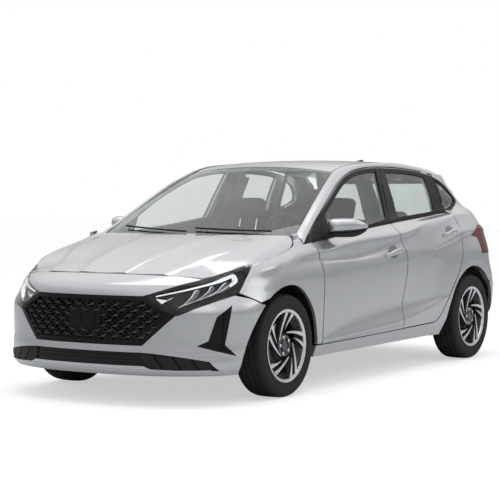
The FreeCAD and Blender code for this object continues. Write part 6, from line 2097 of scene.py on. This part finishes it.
@dataclass(frozen=True)
class Pad:
    """Stuffed pad of a seat.

    Attributes:
        name: Its name.
        frame: Frame that it is drawn in.
        middle: Its middle in that frame.
        half: Half of its length, width and height there.
        finish: Its finish.
        channels: Sewn channels across it, as shares of its longest half from the middle.
        upright: Whether the channels are spaced up the pad instead of along it.
        cap: How far the stuffing may swell it.
    """

    name: str
    frame: Frame
    middle: Point
    half: Point
    finish: Finish
    channels: tuple[float, ...] = ()
    upright: bool = False
    cap: float = 0.012

    def start(self) -> Solid:
        """Slightly smaller closed form whose sides pull in between its corners."""
        shape = Solid()
        rows = []
        a, b, c = (h - self.cap * 0.6 for h in self.half)
        for u in np.linspace(-math.pi / 2 + 0.02, math.pi / 2 - 0.02, 31):
            row = []
            for v in bearings(48):
                cu, su = abs(math.cos(u)) ** ROUNDNESS, math.copysign(abs(math.sin(u)) ** ROUNDNESS, u)
                cv = math.copysign(abs(math.cos(v)) ** ROUNDNESS, math.cos(v))
                sv = math.copysign(abs(math.sin(v)) ** ROUNDNESS, math.sin(v))
                pull = 1 - 0.035 * (1 - su * su) * (1 - min(abs(cv), abs(sv)))
                row.append((a * cu * cv * pull, b * cu * sv * pull, c * su))
            rows.append(row)
        shape.capped(rows)
        local = np.array(shape.points) + np.array(self.middle)
        shape.points = [tuple(p) for p in self.frame.world(local)]
        return shape

    def sewn(self, points: Grid) -> Grid:
        """Points with the sewn channels pressed in."""
        turn = math.radians(-self.frame.lean)
        local = points - self.frame.world(np.array(self.middle))
        along, reach, normal = local[:, 0], self.half[0], np.array([0.0, 0.0, 1.0])
        if self.upright:
            along, reach = local[:, 0] * math.sin(turn) + local[:, 2] * math.cos(turn), self.half[2]
            normal = np.array([math.cos(turn), 0.0, -math.sin(turn)])
        front = local @ normal > 0
        out = points.copy()
        for share in self.channels:
            press = SEAM_DEPTH * np.exp(-((along - share * reach) / SEAM_WIDTH) ** 2)
            out -= normal * (press * front)[:, None]
        return out


class Stuffing:
    """Pads stuffed by a short run of the cloth solver."""

    VOXEL = 0.014
    FRAMES = 20
    PRESSURE = 4.0

    def __init__(self, pads: Sequence[Pad]) -> None:
        """Keep the pads.

        Args:
            pads: Pads on the left side of the car.
        """
        self.pads = pads

    def even(self, pad: Pad) -> bpy.types.Object:
        """Pad with a skin of even cells."""
        shape = pad.start()
        mesh = bpy.data.meshes.new("start")
        mesh.from_pydata(shape.points, [], shape.faces)
        piece = placed("start_" + pad.name, mesh)
        remesh = piece.modifiers.new("cells", "REMESH")
        remesh.mode = "VOXEL"
        remesh.voxel_size = self.VOXEL
        graph = bpy.context.evaluated_depsgraph_get()
        cells = bpy.data.meshes.new_from_object(piece.evaluated_get(graph))
        piece.modifiers.clear()
        piece.data = cells
        return piece

    def stuffed(self) -> list[tuple[Grid, list[tuple[int, ...]]]]:
        """Run the solver and cap how far each point moves.

        Returns:
            Points and faces of each pad.
        """
        pieces = [self.even(pad) for pad in self.pads]
        scene = bpy.context.scene
        before = [np.array([tuple(v.co) for v in piece.data.vertices]) for piece in pieces]
        faces = [[tuple(face.vertices) for face in piece.data.polygons] for piece in pieces]
        for piece in pieces:
            cloth = piece.modifiers.new("stuffing", "CLOTH")
            cloth.settings.use_pressure = True
            cloth.settings.uniform_pressure_force = self.PRESSURE
            cloth.settings.effector_weights.gravity = 0.0
            cloth.settings.quality = 4
        for frame_number in range(1, self.FRAMES + 1):
            scene.frame_set(frame_number)
        graph = bpy.context.evaluated_depsgraph_get()
        found = []
        for pad, piece, start, sides in zip(self.pads, pieces, before, faces):
            after = np.array([tuple(v.co) for v in piece.evaluated_get(graph).data.vertices])
            move = after - start
            length = np.maximum(np.linalg.norm(move, axis=1, keepdims=True), 1e-9)
            moved = start + move / length * np.minimum(length, pad.cap)
            found.append((pad.sewn(moved), sides))
        for piece in pieces:
            bpy.data.objects.remove(piece)
        scene.frame_set(1)
        return found


@dataclass(frozen=True)
class Seats:
    """Two front seats and the rear bench.

    Attributes:
        offset: Distance of a front seat's middle from the car's own.
        back: Frame of a front seat's back.
        bench: Frame of the bench's back.
        level: Frame of the cushions.
    """

    offset: float = 0.365
    back: Frame = Frame((-0.020, 0.0, 0.420), 18.0)
    bench: Frame = Frame((-0.830, 0.0, 0.413), 20.0)
    level: Frame = Frame((0.0, 0.0, 0.0), 0.0)

    def pads(self) -> list[Pad]:
        """Pads on the left side of the car."""
        y, side = self.offset, 0.190
        return [
            Pad("front_cushion", self.level, (0.165, y, 0.462), (0.228, 0.152, 0.064), CLOTH,
                (-0.45, 0.0, 0.45)),
            Pad("front_cushion_outer", self.level, (0.150, y + side, 0.474), (0.212, 0.050, 0.072),
                SIDE_CLOTH),
            Pad("front_cushion_inner", self.level, (0.150, y - side, 0.474), (0.212, 0.050, 0.072),
                SIDE_CLOTH),
            Pad("front_back", self.back, (-0.048, y, 0.320), (0.056, 0.150, 0.270), CLOTH, (-0.5, -0.1, 0.3),
                True),
            Pad("front_back_outer", self.back, (-0.040, y + side, 0.285), (0.070, 0.050, 0.225), SIDE_CLOTH),
            Pad("front_back_inner", self.back, (-0.040, y - side, 0.285), (0.070, 0.050, 0.225), SIDE_CLOTH),
            Pad("front_headrest", self.back, (-0.066, y, 0.745), (0.046, 0.128, 0.082), SIDE_CLOTH),
            Pad("rear_cushion", self.level, (-0.760, 0.312, 0.384), (0.200, 0.300, 0.062), CLOTH,
                (-0.35, 0.35)),
            Pad("rear_back", self.bench, (-0.050, 0.312, 0.305), (0.054, 0.300, 0.278), CLOTH, (-0.4, 0.3),
                True),
            Pad("rear_headrest", self.bench, (-0.058, 0.365, 0.665), (0.042, 0.118, 0.072), SIDE_CLOTH),
        ]

    def frames(self) -> None:
        """Pans, shells and posts that carry the pads."""
        dark, posts = Solid(), Solid()
        y = self.offset
        dark.box((-0.070, y - 0.225, 0.345), (0.385, y + 0.225, 0.420))
        for rail in (-0.180, 0.180):
            dark.box((-0.045, y + rail - 0.020, 0.275), (0.370, y + rail + 0.020, 0.345))
        shell = [(-0.118, 0.04), (-0.100, 0.04), (-0.096, 0.58), (-0.108, 0.60), (-0.118, 0.58)]
        rows = []
        for reach in (-0.232, -0.225, 0.225, 0.232):
            ring = np.array([(a, y + reach, b) for a, b in shell])
            rows.append([tuple(p) for p in self.back.world(ring)])
        dark.capped(rows)
        for post in (-0.070, 0.070):
            line = self.back.world(np.array([(-0.070, y + post, 0.56), (-0.070, y + post, 0.70)]))
            posts.tube([tuple(p) for p in line], 0.0065, 12)
            line = self.bench.world(np.array([(-0.058, y + post, 0.56), (-0.058, y + post, 0.62)]))
            posts.tube([tuple(p) for p in line], 0.0065, 12)
        dark.box((-0.955, 0.012, 0.276), (-0.570, 0.600, 0.335))
        for side in Side:
            mark = side.mark
            rounded(dark.piece("seat_frame_" + mark, SATIN_BLACK, "body", angle=35.0, side=side), 0.006)
            posts.piece("headrest_posts_" + mark, CHROME, "body", angle=35.0, side=side)

    def build(self) -> None:
        """Stuff the pads once and set them out on both sides."""
        self.frames()
        pads = self.pads()
        for pad, (points, faces) in zip(pads, Stuffing(pads).stuffed()):
            for side in Side:
                mark = side.mark
                sides = faces if side is Side.LEFT else [tuple(reversed(f)) for f in faces]
                piece = dressed(f"{pad.name}_{mark}", reflected(points, side), sides, pad.finish, "body")
                smooth = piece.modifiers.new("smooth", "SUBSURF")
                smooth.levels = smooth.render_levels = 1
                if side is Side.LEFT and pad.name == "front_cushion":
                    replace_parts(piece, "front_seats")
                if side is Side.LEFT and pad.name == "rear_cushion":
                    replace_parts(piece, "rear_seat")


@dataclass(frozen=True)
class Dash:
    """Padded top of the dashboard, its centre display, its instrument hood and the cabin's linings.

    Attributes:
        reach: Half of its width.
        driver: Middle of the driver's place.
    """

    reach: float = 0.635
    driver: float = 0.365

    def build(self) -> None:
        """Make the dashboard's pieces."""
        rows = []
        for y in np.linspace(-self.reach, self.reach, 49):
            hood = 0.030 * math.exp(-((y - self.driver) / 0.15) ** 4)
            bow = 0.030 * (y / self.reach) ** 2
            rows.append([(0.770 - bow, y, 0.905), (0.700 - bow, y, 0.922), (0.590, y, 0.925 + hood),
                         (0.520, y, 0.922 + hood), (0.498, y, 0.908 + hood), (0.505, y, 0.885),
                         (0.495, y, 0.850), (0.485, y, 0.800), (0.500, y, 0.750), (0.540, y, 0.690),
                         (0.620, y, 0.650), (0.760 - bow, y, 0.700)])
        rounded(loft(rows, "dash_top", CABIN_PLASTIC, "body", 40.0), 0.004)
        screen = Solid()
        screen.box((0.490, -0.125, 0.905), (0.502, 0.125, 1.000))
        rounded(screen.piece("centre_display", GLOSS_BLACK, "body", angle=40.0), 0.004)
        for side in Side:
            mark = side.mark
            lining = outline(metres((-250, 1360), (-150, 720)), metres((-150, 720), (-470, 720)),
                             metres((-470, 720), (-470, 1360)), metres((-470, 1360), (-250, 1360)))
            vents = Solid()
            for y in (0.060, 0.560):
                vents.box((0.481, y - 0.040, 0.835), (0.492, y + 0.040, 0.882))
            rounded(vents.piece("dash_vents_" + mark, GLOSS_BLACK, "body", angle=40.0, side=side), 0.003)
            Panel("pillar_lining_" + mark, lining, inside_skin(0.125), pitch=0.05, depth=0.003).build(
                CABIN_GREY, "body", side, (0, -1, 0))


def main() -> None:
    """Build the studio, then every sub-assembly in turn."""
    logging.basicConfig(level=logging.INFO)
    Studio().build()
    Skins().build()
    for corner in CORNERS:
        Wheel(corner).build()
    LOG.info("wheels done")
    for side in Side:
        DoorSet(side).build()
        Headlamp(side).build()
        RearCorner(side).build()
    LOG.info("doors, mirrors and lamps done")
    FrontEnd().build()
    Top().build()
    LOG.info("front end and bonnet done")
    Seats().build()
    Dash().build()
    LOG.info("cabin done")


if __name__ == "__main__":
    main()
